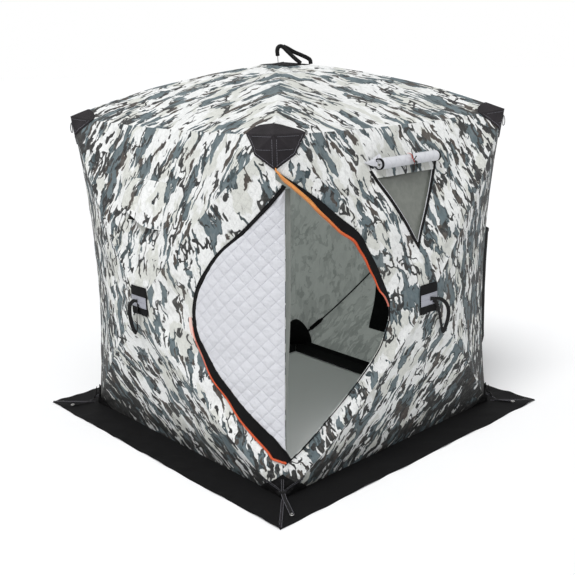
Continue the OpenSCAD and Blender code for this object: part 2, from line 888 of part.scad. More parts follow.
for (side = SIDES) for (edge = EDGES)
    wall_piece(side, edge);
for (side = SIDES) {
    roof_piece(side);
    skirt_piece(side);
    wall_rods(side);
}
roof_rods();
hubs();
corner_pockets();
corner_caps();
base_patches();
ground_hem();
door_left_half();
door_flap();
door_zip();
window_films();
window_borders();
window_cover_rolls();
vent_hoods();
hub_patches();
pull_straps();
roof_patch();
roof_handle();
gear_pocket();
inner_pocket();
skirt_eyelets();
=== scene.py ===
"""Pop-up ice fishing shelter: soft cloth, trim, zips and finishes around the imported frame."""

import logging
import math
from dataclasses import dataclass, field
from enum import Enum
from typing import Callable, Optional, Sequence, Union

import bpy
import numpy as np
from mathutils import Matrix, Vector

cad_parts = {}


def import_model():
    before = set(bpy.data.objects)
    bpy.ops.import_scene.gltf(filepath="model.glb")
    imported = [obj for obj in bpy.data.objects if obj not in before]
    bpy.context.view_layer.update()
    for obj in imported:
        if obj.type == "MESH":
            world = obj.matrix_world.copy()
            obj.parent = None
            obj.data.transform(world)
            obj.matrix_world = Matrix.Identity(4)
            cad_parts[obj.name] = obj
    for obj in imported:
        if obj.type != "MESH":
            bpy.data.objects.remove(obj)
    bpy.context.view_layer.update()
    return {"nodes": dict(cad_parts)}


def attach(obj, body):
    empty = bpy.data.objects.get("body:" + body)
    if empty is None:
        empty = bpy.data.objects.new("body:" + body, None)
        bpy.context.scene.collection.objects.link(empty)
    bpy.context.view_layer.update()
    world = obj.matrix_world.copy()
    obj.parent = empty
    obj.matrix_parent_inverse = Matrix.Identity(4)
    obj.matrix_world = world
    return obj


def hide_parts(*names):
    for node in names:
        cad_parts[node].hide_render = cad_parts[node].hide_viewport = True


LOG = logging.getLogger("shelter")
BODY = "root"
Array = np.ndarray
Number = Union[int, float]
TAU = 2 * math.pi
UP = np.array([0.0, 0.0, 1.0])


def srgb(red: float, green: float, blue: float) -> tuple[float, float, float, float]:
    """Linear colour of a display colour given from 0 to 255.

    Args:
        red: display red.
        green: display green.
        blue: display blue.

    Returns:
        The linear red, green and blue, and an alpha of 1.
    """
    parts = [c / 255 for c in (red, green, blue)]
    linear = [c / 12.92 if c <= 0.04045 else ((c + 0.055) / 1.055) ** 2.4 for c in parts]
    return (linear[0], linear[1], linear[2], 1.0)


def ease(x: Array) -> Array:
    """Smooth step of x: 3x^2 - 2x^3 between 0 and 1."""
    x = np.clip(x, 0.0, 1.0)
    return x * x * (3 - 2 * x)


def unit(v: Array) -> Array:
    """Vectors of v scaled to length 1."""
    return v / np.maximum(np.linalg.norm(v, axis=-1, keepdims=True), 1e-12)


def waves(seed: int, x: Array, y: Array, count: int, short: float, long: float) -> Array:
    """Smooth uneven field: a sum of sine waves in seeded directions, about 1 high.

    Args:
        seed: seed of the directions, lengths and phases.
        x: first coordinate, in metres.
        y: second coordinate, in metres.
        count: number of waves.
        short: shortest wavelength in metres.
        long: longest wavelength in metres.

    Returns:
        The field at each place.
    """
    rng = np.random.default_rng(seed)
    turn = rng.uniform(0, TAU, count)
    pace = TAU / rng.uniform(short, long, count)
    phase = rng.uniform(0, TAU, count)
    angle = np.multiply.outer(x, pace * np.cos(turn)) + np.multiply.outer(y, pace * np.sin(turn))
    return np.sin(angle + phase).sum(-1) / math.sqrt(count)


class Side(Enum):
    """The four walls, in order round the cabin."""

    FRONT = "front"
    RIGHT = "right"
    BACK = "back"
    LEFT = "left"

    def turned(self, local: Array) -> Array:
        """A wall's own [along, out, up] in the cabin's frame."""
        p, q, z = local[..., 0], local[..., 1], local[..., 2]
        rows = {
            Side.FRONT: (p, -q, z), Side.RIGHT: (q, p, z),
            Side.BACK: (-p, q, z), Side.LEFT: (-q, -p, z),
        }[self]
        return np.stack(rows, -1)

    @property
    def out(self) -> Array:
        """Direction out of the wall."""
        return self.turned(np.array([0.0, 1.0, 0.0]))

    @property
    def index(self) -> int:
        """Place of the wall in the order."""
        return list(Side).index(self)

    @property
    def next(self) -> "Side":
        """The wall that shares this wall's right edge."""
        return list(Side)[(self.index + 1) % 4]


class Gore(Enum):
    """The four gores of a wall, between its rods."""

    TOP = "top"
    BOTTOM = "bottom"
    LEFT = "left"
    RIGHT = "right"


@dataclass(frozen=True)
class CabinForm:
    """The cloth's surfaces, by the same formulas and values as the frame, in metres."""

    base_half: float = 0.900
    top_half: float = 0.921
    eave_h: float = 1.870
    peak_h: float = 2.165
    hub_out: float = 1.115
    hub_h: float = 0.920
    cloth_t: float = 0.005
    pole_bow: float = 0.045
    roof_bow: float = 0.050
    side_pull: float = 0.048
    eave_pull: float = 0.045
    eave_sag: float = 0.025
    foot_pull: float = 0.020
    hub_share: float = 0.03
    slack: float = 0.0055
    fan: float = 0.0060

    @property
    def above(self) -> float:
        """Height of the eave over the hub."""
        return self.eave_h - self.hub_h

    def half_at(self, z: Array) -> Array:
        """Half the width between the upright edges before the cloth pulls them in."""
        return self.base_half + (self.top_half - self.base_half) * z / self.eave_h

    def edge_half(self, z: Array) -> Array:
        """Half the width of a wall at its upright edge: less a parabola of the height."""
        share = (z - self.hub_h) / np.where(z > self.hub_h, self.above, self.hub_h)
        return self.half_at(z) - self.side_pull * (1 - share ** 2)

    def eave_rise(self, p: Array) -> Array:
        """Rise of the eave over the hub, which sags by a parabola towards its middle."""
        return self.above - self.eave_sag * (1 - (p / self.top_half) ** 2)

    def cloth_out(self, s: Array, w: Array, z: Array, pull: float) -> Array:
        """Distance of the cloth from the middle: straight from hub to edge, plus the rods' bow."""
        bow = 4 * self.pole_bow * s * (1 - s)
        return self.hub_out * (1 - s) + s * self.half_at(z) + bow - pull * s * s * (1 - w * w)

    def ripple(self, side: Side, p: Array, z: Array) -> Array:
        """Soft folds of a wall: broad slack, folds that fan out of the hub and the corners,
        and small gathers over the skirt. They fade at the edges and along the rods."""
        k = side.index
        broad = waves(40 + k, p, z, 9, 0.20, 0.55) * self.slack
        r, a = np.hypot(p, z - self.hub_h), np.arctan2(z - self.hub_h, p)
        fan = np.sin(11 * a + 1.3 * k) + 0.7 * np.sin(17 * a + 2.1 * k)
        out = fan * ease((r - 0.07) / 0.15) * np.exp(-r / 0.32) * self.fan
        for level in (0.0, self.eave_h):
            drop = np.abs(z - level)
            inwards = np.abs(self.half_at(z) - np.abs(p))
            far, turn = np.hypot(inwards, drop), np.arctan2(drop, inwards)
            folds = np.sin(19 * turn + k + np.sign(p)) + 0.6 * np.sin(31 * turn + 2 * k)
            out = out + folds * ease(far / 0.14) * np.exp(-far / 0.28) * self.fan * 0.7
        gather = np.sin(TAU * p / 0.085 + 2 * waves(60 + k, p, z, 5, 0.2, 0.5))
        out = out + broad + 0.0028 * gather * np.exp(-z / 0.07)
        rise = self.hub_h + self.eave_rise(p) - z
        edge = ease((self.edge_half(z) - np.abs(p)) / 0.07) * ease(rise / 0.06) * ease(z / 0.04)
        across = np.abs(p) / self.edge_half(z)
        up = np.abs(z - self.hub_h) / np.where(z > self.hub_h, self.eave_rise(p), self.hub_h)
        rod = 0.25 + 0.75 * ease(np.abs(up - across) / 0.13)
        return out * edge * rod

    def gore_point(self, side: Side, gore: Gore, s: Array, w: Array, off: float = 0.0) -> Array:
        """A point of a gore in the wall's own frame, s of the way from the hub to the edge and
        w across from rod to rod, moved outwards by off."""
        s, w = np.broadcast_arrays(np.asarray(s, float), np.asarray(w, float))
        if gore is Gore.TOP:
            z0 = self.hub_h + s * self.above
            p = w * s * self.edge_half(z0)
            q, z = self.cloth_out(s, w, z0, self.eave_pull), self.hub_h + s * self.eave_rise(p)
            moved = (p + off * w * s, q + off, z + off * s)
        elif gore is Gore.BOTTOM:
            z0 = self.hub_h - s * self.hub_h
            p, z = w * s * self.edge_half(z0), z0
            q = self.cloth_out(s, w, z0, 0) - 4 * self.foot_pull * s * (1 - s) * (1 - w * w)
            moved = (p + off * w * s, q + off, z)
        else:
            hand = -1 if gore is Gore.LEFT else 1
            up = w > 0
            z0 = self.hub_h + w * s * np.where(up, self.above, self.hub_h)
            wide = s * self.edge_half(z0)
            z = self.hub_h + w * s * np.where(up, self.eave_rise(wide), self.hub_h)
            p, q = hand * wide, self.cloth_out(s, w, z0, self.side_pull)
            moved = (p + hand * off * s, q + off, z + off * np.maximum(w, 0) * s)
        x, y, h = moved
        return np.stack([x, y + self.ripple(side, p, z), h], -1)

    def place(self, p: Array, z: Array) -> tuple[Array, Array, Array]:
        """Share of the way out, place across the gore and whether the gore is a top or bottom."""
        across = np.abs(p) / self.edge_half(z)
        high = z > self.hub_h
        up = np.where(high, (z - self.hub_h) / self.eave_rise(p), (self.hub_h - z) / self.hub_h)
        s = np.maximum(np.maximum(across, up), 1e-4)
        tall = up > across
        w = np.where(tall, p / self.edge_half(z) / s, np.where(high, up, -up) / s)
        return s, w, tall

    def wall_point(self, side: Side, p: Array, z: Array, off: Union[float, Array] = 0.0) -> Array:
        """The cloth at a place along a wall and a height, off outwards, in the wall's frame."""
        p, z, off = np.broadcast_arrays(*(np.asarray(v, float) for v in (p, z, off)))
        s, w, tall = self.place(p, z)
        high = z > self.hub_h
        z0 = np.where(tall, z, self.hub_h + w * s * np.where(high, self.above, self.hub_h))
        z0 = np.where(tall & high, self.hub_h + s * self.above, z0)
        pull = np.where(tall, np.where(high, self.eave_pull, 0.0), self.side_pull)
        q = self.cloth_out(s, w, z0, 0) - pull * s * s * (1 - w * w)
        q = q - np.where(tall & ~high, 4 * self.foot_pull * s * (1 - s) * (1 - w * w), 0)
        q = q + self.ripple(side, p, z)
        x = np.where(tall, p + off * w * s, p + np.sign(p) * off * s)
        lift = np.where(tall, np.where(high, off * s, 0), off * np.maximum(w, 0) * s)
        return np.stack([x, q + off, z + lift], -1)

    def on_wall(self, side: Side, p: Array, z: Array, off: Union[float, Array] = 0.0) -> Array:
        """The same point in the cabin's frame."""
        return side.turned(self.wall_point(side, p, z, off))

    def roof_ripple(self, side: Side, p: Array, q: Array) -> Array:
        """Soft folds of a roof gore: broad slack and folds that fan out of the peak."""
        k = side.index
        r, a = np.hypot(p, q), np.arctan2(p, q)
        fan = np.sin(17 * a + k) + 0.7 * np.sin(29 * a + 2 * k)
        out = fan * ease((r - 0.06) / 0.2) * np.exp(-r / 0.45) * self.fan
        out = out + waves(50 + k, p, q, 9, 0.16, 0.5) * self.slack
        share = np.clip(q, 0.02, None) / self.top_half
        ridge = 0.2 + 0.8 * ease((1 - np.abs(p) / np.clip(q, 0.02, None)) / 0.16)
        return out * ridge * ease((1 - share) / 0.06)

    def roof_point(self, side: Side, s: Array, w: Array, off: float = 0.0) -> Array:
        """A point of a roof gore in its wall's frame, s of the way out from the peak and w
        across from ridge to ridge, off upwards and outwards."""
        s, w = np.broadcast_arrays(np.asarray(s, float), np.asarray(w, float))
        dip = s * s * (1 - w * w)
        q = s * self.top_half - self.eave_pull * dip
        p = w * s * self.top_half
        z = self.peak_h - s * (self.peak_h - self.eave_h) + 4 * self.roof_bow * s * (1 - s)
        z = z - self.eave_sag * dip + self.roof_ripple(side, p, s * self.top_half)
        return np.stack([p + w * s * off, q + off * s, z + off], -1)


class Builder:
    """Gathers closed solids, made from whole arrays, into one mesh."""

    def __init__(self) -> None:
        """Starts empty."""
        self.points: list[Array] = []
        self.faces: list[Array] = []
        self.caps: list[list[int]] = []
        self.coords: list[Array] = []
        self.slots: list[Array] = []
        self.count = 0
        self.area = 0.0

    def _add(self, points: Array, quads: Array, caps: list[Array], coords: Array,
             slots: Array) -> None:
        """Adds one closed solid, turned so that its volume is positive."""
        tris = np.concatenate([quads[:, [0, 1, 2]], quads[:, [0, 2, 3]]])
        fans = [np.stack([np.full(len(c) - 2, c[0]), c[1:-1], c[2:]], 1) for c in caps]
        tris = np.concatenate([tris, *fans]) if fans else tris
        a, b, c = (points[tris[:, i]] - points[0] for i in range(3))
        if (a * np.cross(b, c)).sum() < 0:
            quads, caps = quads[:, ::-1], [cap[::-1] for cap in caps]
        self.points.append(points)
        self.faces.append(quads + self.count)
        self.caps += [[int(i) + self.count for i in cap] for cap in caps]
        self.coords.append(coords)
        self.slots.append(slots)
        self.count += len(points)

    def sheet(self, outer: Array, inner: Array, coords: Array, wrap: bool = False,
              slots: tuple[int, int, int] = (0, 0, 0)) -> "Builder":
        """Closed sheet between two grids of points with the same rows and columns.

        Args:
            outer: outer face, rows by columns by 3.
            inner: inner face, of the same shape.
            coords: cloth coordinates in metres, rows by columns by 2.
            wrap: True where the last column joins the first.
            slots: material slots of the outer face, the inner face and the rim.

        Returns:
            This builder.
        """
        rows, cols = outer.shape[:2]
        n = rows * cols
        at = np.arange(n).reshape(rows, cols)
        if wrap:
            at = np.concatenate([at, at[:, :1]], 1)
        a, b, c, d = at[:-1, :-1], at[:-1, 1:], at[1:, 1:], at[1:, :-1]
        top = np.stack([a, b, c, d], -1).reshape(-1, 4)
        rims = [np.stack([at[0, 1:], at[0, :-1], at[0, :-1] + n, at[0, 1:] + n], 1),
                np.stack([at[-1, :-1], at[-1, 1:], at[-1, 1:] + n, at[-1, :-1] + n], 1)]
        if not wrap:
            rims += [np.stack([at[:-1, 0], at[1:, 0], at[1:, 0] + n, at[:-1, 0] + n], 1),
                     np.stack([at[1:, -1], at[:-1, -1], at[:-1, -1] + n, at[1:, -1] + n], 1)]
        rim = np.concatenate(rims)
        quads = np.concatenate([top, top[:, ::-1] + n, rim])
        kinds = np.repeat(slots, [len(top), len(top), len(rim)])
        flat = coords.reshape(-1, 2)
        self._add(np.concatenate([outer.reshape(-1, 3), inner.reshape(-1, 3)]), quads, [],
                  np.concatenate([flat, flat]), kinds)
        p = outer.reshape(-1, 3)
        diagonals = np.cross(p[top[:, 2]] - p[top[:, 0]], p[top[:, 3]] - p[top[:, 1]])
        self.area += float(np.linalg.norm(diagonals, axis=1).sum() / 2)
        return self

    def carried(self, path: Array, across: Array, up: Array, profile: Array,
                wrap: bool = False) -> "Builder":
        """Profile carried along a path: each point is path + across * x + up * y.

        Args:
            path: points of the path, n by 3.
            across: unit vectors across the path, n by 3, or one for all.
            up: unit vectors off the path, the same way.
            profile: closed outline of the section in metres, k by 2, or n by k by 2.
            wrap: True where the path closes on itself.

        Returns:
            This builder.
        """
        n, k = len(path), profile.shape[-2]
        profile = np.broadcast_to(profile, (n, k, 2))
        across, up = (np.broadcast_to(v, path.shape)[:, None] for v in (across, up))
        ring = path[:, None] + across * profile[..., :1] + up * profile[..., 1:]
        at = np.arange(n * k).reshape(n, k)
        at = np.concatenate([at, at[:, :1]], 1)
        if wrap:
            at = np.concatenate([at, at[:1]])
        quads = np.stack([at[:-1, :-1], at[:-1, 1:], at[1:, 1:], at[1:, :-1]], -1).reshape(-1, 4)
        caps = [] if wrap else [at[0, :-1][::-1], at[-1, :-1]]
        u, v = np.broadcast_arrays(lengths(profile[0])[None], lengths(path)[:, None])
        self._add(ring.reshape(-1, 3), quads, caps, np.stack([u, v], -1).reshape(-1, 2),
                  np.zeros(len(quads), int))
        return self

    def lathe(self, profile: Array, centre: Array, axis: Array, steps: int) -> "Builder":
        """Closed ring or button: a closed outline of (radius, height) turned about an axis.

        Args:
            profile: closed outline, k by 2, all radii over zero.
            centre: point on the axis at height 0.
            axis: direction of the axis.
            steps: steps round.

        Returns:
            This builder.
        """
        axis = unit(np.asarray(axis, float))
        aside = unit(np.cross(axis, [0.31, 0.17, 0.94]))
        third = np.cross(axis, aside)
        turn = np.arange(steps) * TAU / steps
        spoke = np.cos(turn)[:, None] * aside + np.sin(turn)[:, None] * third
        path = np.broadcast_to(np.asarray(centre, float), (steps, 3))
        return self.carried(path, spoke, axis, profile, True)

    def stitches(self, path: Array, normal: Array, dash: float = 0.0045, pitch: float = 0.008,
                 wide: float = 0.0012) -> "Builder":
        """Row of thread dashes, each a small box laid along a path.

        Args:
            path: points of the seam, n by 3.
            normal: unit vectors off the cloth, n by 3, or one for all.
            dash: length of a dash.
            pitch: distance between dashes.
            wide: width of the thread.

        Returns:
            This builder.
        """
        length = lengths(path)
        middles = np.arange(pitch / 2, length[-1], pitch)
        ends = [sampled(middles + way * dash / 2, length, path) for way in (-1, 1)]
        up = unit(sampled(middles, length, np.broadcast_to(normal, path.shape)))
        aside = unit(np.cross(ends[1] - ends[0], up)) * wide / 2
        tall = up * wide * 0.8
        corners = [e + s * aside + h * tall for e in ends for s in (-1, 1) for h in (-0.3, 1)]
        points = np.stack(corners, 1).reshape(-1, 3)
        box = np.array([[0, 1, 3, 2], [4, 6, 7, 5], [0, 4, 5, 1], [2, 3, 7, 6], [1, 5, 7, 3],
                        [0, 2, 6, 4]])
        quads = (np.arange(len(middles))[:, None, None] * 8 + box).reshape(-1, 4)
        self._add(points, quads, [], points[:, :2], np.zeros(len(quads), int))
        return self

    def piece(self, name: str, slot: str, finishes: Sequence[bpy.types.Material],
              nodes: Sequence[str] = (), sharp: float = 50.0) -> bpy.types.Object:
        """The gathered solids as a piece that rides on the cabin.

        Args:
            name: the piece's name.
            slot: not used.
            finishes: materials by slot of the mesh.
            nodes: names of the nodes that it replaces.
            sharp: edges that turn more than this many degrees stay sharp.

        Returns:
            The piece.
        """
        obj = self.build(name, finishes, sharp)
        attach(obj, BODY)
        if nodes:
            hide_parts(*nodes)
        LOG.info("%s: %d faces", name, len(obj.data.polygons))
        return obj

    def cloth(self, name: str, slot: str, finishes: Sequence[bpy.types.Material],
              flat: tuple[float, float], held: str, rests_on: Sequence[str],
              nodes: Sequence[str] = ()) -> None:
        """The same for a sheet of cloth.

        Args:
            name: the piece's name.
            slot: the record's material slot.
            finishes: materials by slot of the mesh.
            flat: not used.
            held: not used.
            rests_on: not used.
            nodes: names of the nodes that it replaces.
        """
        self.piece(name, slot, finishes, nodes)

    def build(self, name: str, finishes: Sequence[bpy.types.Material],
              sharp: float) -> bpy.types.Object:
        """The gathered solids as one object.

        Args:
            name: the piece's name.
            finishes: materials by slot.
            sharp: edges that turn more than this many degrees stay sharp.

        Returns:
            The new object, at the origin.
        """
        quads = np.concatenate(self.faces)
        mesh = bpy.data.meshes.new(name)
        mesh.from_pydata(np.concatenate(self.points), [], quads.tolist() + self.caps)
        kinds = np.concatenate([*self.slots, np.zeros(len(self.caps))]).astype(np.int32)
        mesh.polygons.foreach_set("material_index", kinds)
        loops = np.zeros(len(mesh.loops), np.int32)
        mesh.loops.foreach_get("vertex_index", loops)
        layer = mesh.uv_layers.new(name="cloth")
        layer.data.foreach_set("uv", np.concatenate(self.coords)[loops].astype(np.float32).ravel())
        for finish in finishes:
            mesh.materials.append(finish)
        mesh.shade_smooth()
        mesh.set_sharp_from_angle(angle=math.radians(sharp))
        mesh.update()
        obj = bpy.data.objects.new(name, mesh)
        bpy.context.scene.collection.objects.link(obj)
        return obj


def grid_coords(u: Array, v: Array) -> Array:
    """Two arrays of coordinates as one grid of pairs."""
    return np.stack(np.broadcast_arrays(u, v), -1)


def laid_out(grid: Array) -> Array:
    """Cloth coordinates of a grid: lengths along its rows and its columns, in metres."""
    u = np.zeros(grid.shape[:2])
    v = np.zeros(grid.shape[:2])
    u[:, 1:] = np.linalg.norm(np.diff(grid, axis=1), axis=2).cumsum(1)
    v[1:] = np.linalg.norm(np.diff(grid, axis=0), axis=2).cumsum(0)
    return np.stack([u, v], -1)


def tangents(path: Array) -> Array:
    """Unit directions along a path: each point's two neighbours joined."""
    return unit(np.gradient(path, axis=0))


def lengths(path: Array) -> Array:
    """Length along a path up to each of its points."""
    return np.concatenate([[0], np.linalg.norm(np.diff(path, axis=0), axis=1).cumsum()])


def sampled(at: Array, length: Array, values: Array) -> Array:
    """Rows of values that are given at lengths along a path, read at other lengths."""
    return np.stack([np.interp(at, length, column) for column in values.T], 1)


def spans(rows: int, cols: int, down: Sequence[float] = (0, 1),
          over: Sequence[float] = (0, 1)) -> tuple[Array, Array]:
    """The two parameters of a grid: even steps down its columns and along its rows."""
    return np.linspace(*down, rows)[:, None], np.linspace(*over, cols)[None]


def leant(path: Array, out: Array) -> tuple[Array, Array]:
    """Unit directions across a path and off it: its tangent crossed with out, and again."""
    along = tangents(path)
    across = unit(np.cross(along, out))
    return across, np.cross(across, along)


def round_section(radius: float, sides: int = 10) -> Array:
    """Circle of points, as a section."""
    turn = np.arange(sides) * TAU / sides
    return radius * np.stack([np.cos(turn), np.sin(turn)], 1)


def rim_section(radius: float, half: float, high: float = 0.0018) -> Array:
    """Outline of a pressed eyelet's rim: an ellipse at a radius from the axis."""
    turn = np.linspace(0, TAU, 14, endpoint=False)
    return np.stack([radius + half * np.cos(turn), high * np.sin(turn)], 1)


def strap_section(wide: float, thick: float) -> Array:
    """Outline of webbing: a flat strip with softly rounded edges, its low face at 0."""
    w, t = wide / 2, thick
    return np.array([[-w, t * 0.3], [-w + t * 0.4, 0], [w - t * 0.4, 0], [w, t * 0.3],
                     [w, t * 0.7], [w - t * 0.4, t], [0, t * 1.1], [-w + t * 0.4, t],
                     [-w, t * 0.7]])


def smooth_path(points: Sequence[Sequence[float]], count: int) -> Array:
    """Smooth path through a few points: cubic pieces whose slopes are those of the neighbours.

    Args:
        points: the points that it passes.
        count: number of points in the path.

    Returns:
        The path, count by 3.
    """
    p = np.asarray(points, float)
    slope = np.gradient(p, axis=0)
    at = np.linspace(0, len(p) - 1, count)
    i = np.minimum(at.astype(int), len(p) - 2)
    t = (at - i)[:, None]
    a, b, m, n = p[i], p[i + 1], slope[i], slope[i + 1]
    return ((2 * t ** 3 - 3 * t ** 2 + 1) * a + (t ** 3 - 2 * t ** 2 + t) * m
            + (3 * t ** 2 - 2 * t ** 3) * b + (t ** 3 - t ** 2) * n)


def arithmetic(kind: str, mirrored: bool = False) -> Callable[["Value", "Term"], "Value"]:
    """Operator of the socket class that adds one Math node.

    Args:
        kind: the node's operation.
        mirrored: True for the reflected form, in which the terms change places.

    Returns:
        The method.
    """

    def applied(value: "Value", other: "Term") -> "Value":
        """Result of the node on two terms."""
        terms = (other, value) if mirrored else (value, other)
        return value.graph.math(kind, *terms)

    return applied


class Value:
    """A shader socket on which plain arithmetic adds Math nodes."""

    __add__, __radd__ = arithmetic("ADD"), arithmetic("ADD", True)
    __sub__, __rsub__ = arithmetic("SUBTRACT"), arithmetic("SUBTRACT", True)
    __mul__, __rmul__ = arithmetic("MULTIPLY"), arithmetic("MULTIPLY", True)
    smaller, larger = arithmetic("MINIMUM"), arithmetic("MAXIMUM")

    def __init__(self, graph: "Graph", socket: bpy.types.NodeSocket) -> None:
        """Wraps a socket of a graph."""
        self.graph = graph
        self.socket = socket

    def absolute(self) -> "Value":
        """Size without its sign."""
        return self.graph.math("ABSOLUTE", self)

    def sine(self) -> "Value":
        """Sine of the value in radians."""
        return self.graph.math("SINE", self)

    def over(self, edge: float, soft: float = 0.02) -> "Value":
        """Mask that turns from 0 to 1 where the value passes an edge.

        Args:
            edge: value at the middle of the turn.
            soft: width of the turn.

        Returns:
            The mask.
        """
        node = self.graph.node("ShaderNodeMapRange", {"interpolation_type": "SMOOTHSTEP"},
                               {0: self, 1: edge - soft / 2, 2: edge + soft / 2})
        return Value(self.graph, node.outputs[0])


Term = Union[Value, Number]
Colour = Union[Value, tuple[float, float, float, float]]


class Graph:
    """Nodes of one material, made by a few short calls."""

    def __init__(self, name: str) -> None:
        """Starts an empty material."""
        self.material = bpy.data.materials.new(name)
        self.material.use_nodes = True
        self.tree = self.material.node_tree
        self.tree.nodes.clear()

    def node(self, kind: str, settings: Optional[dict] = None,
             inputs: Optional[dict] = None) -> bpy.types.Node:
        """Adds a node.

        Args:
            kind: type of the node.
            settings: its own settings, set first.
            inputs: values or links of its sockets, by name or place.

        Returns:
            The node.
        """
        node = self.tree.nodes.new(kind)
        for key, value in (settings or {}).items():
            setattr(node, key, value)
        for key, value in (inputs or {}).items():
            if isinstance(value, Value):
                self.tree.links.new(value.socket, node.inputs[key])
            else:
                node.inputs[key].default_value = value
        return node

    def math(self, kind: str, *terms: Term) -> Value:
        """Math node on values and numbers."""
        node = self.node("ShaderNodeMath", {"operation": kind}, dict(enumerate(terms)))
        return Value(self, node.outputs[0])

    def cloth(self) -> Value:
        """The piece's own cloth coordinates, in metres."""
        return Value(self, self.node("ShaderNodeUVMap", {"uv_map": "cloth"}).outputs[0])

    def spot(self) -> Value:
        """Object coordinates, in metres."""
        return Value(self, self.node("ShaderNodeTexCoord").outputs["Object"])

    def placed(self, vector: Value, scale: Sequence[float], turn: float = 0.0,
               move: Sequence[float] = (0, 0, 0)) -> Value:
        """Coordinates scaled, turned about Z by some degrees and moved."""
        node = self.node("ShaderNodeMapping", {}, {
            0: vector, 1: tuple(move), 2: (0, 0, math.radians(turn)), 3: tuple(scale)})
        return Value(self, node.outputs[0])

    def vectors(self, kind: str, a: Value, b: Union[Value, Sequence[float]]) -> Value:
        """Vector Math node on two vectors."""
        b = b if isinstance(b, Value) else tuple(b)
        node = self.node("ShaderNodeVectorMath", {"operation": kind}, {0: a, 1: b})
        return Value(self, node.outputs[0])

    def parts(self, vector: Value) -> tuple[Value, Value, Value]:
        """The three parts of a vector."""
        node = self.node("ShaderNodeSeparateXYZ", {}, {0: vector})
        return tuple(Value(self, node.outputs[i]) for i in range(3))

    def noise(self, vector: Value, scale: float, detail: float = 2.0, rough: float = 0.5,
              colour: bool = False) -> Value:
        """Noise, as a number about 0.5 or as a random vector."""
        node = self.node("ShaderNodeTexNoise", {}, {
            "Vector": vector, "Scale": scale, "Detail": detail, "Roughness": rough})
        return Value(self, node.outputs[1 if colour else 0])

    def cells(self, vector: Value, scale: float) -> Value:
        """Distance of the nearest cell's middle."""
        node = self.node("ShaderNodeTexVoronoi", {}, {"Vector": vector, "Scale": scale})
        return Value(self, node.outputs[0])

    def warped(self, vector: Value, by: Value, amount: float) -> Value:
        """Coordinates moved by a random vector about 0.5."""
        centred = self.vectors("SUBTRACT", by, (0.5, 0.5, 0.5))
        return self.vectors("ADD", vector, self.vectors("MULTIPLY", centred, (amount,) * 3))

    def mix(self, share: Term, low: Colour, high: Colour) -> Value:
        """Colour between two colours."""
        node = self.node("ShaderNodeMix", {"data_type": "RGBA"}, {0: share, 6: low, 7: high})
        return Value(self, node.outputs[2])

    def bump(self, height: Value, depth: float, strength: float = 0.6) -> Value:
        """Normal bent by a height from 0 to 1 that stands for a depth in metres."""
        node = self.node("ShaderNodeBump", {}, {
            "Height": height, "Distance": depth, "Strength": strength})
        return Value(self, node.outputs[0])

    def surface(self, inputs: dict) -> bpy.types.Material:
        """Ends the material in one Principled shader.

        Args:
            inputs: its sockets' values or links.

        Returns:
            The material.
        """
        shader = self.node("ShaderNodeBsdfPrincipled", {}, inputs)
        out = self.node("ShaderNodeOutputMaterial")
        self.tree.links.new(shader.outputs[0], out.inputs[0])
        return self.material


def weave(g: Graph, vector: Value, pitch: float) -> Value:
    """Plain weave: two crossed sine waves of a pitch in metres, from 0 to 1."""
    x, y, _ = g.parts(vector)
    a, b = ((c * (TAU / pitch)).sine() for c in (x, y))
    return (a * b + 1) * 0.5


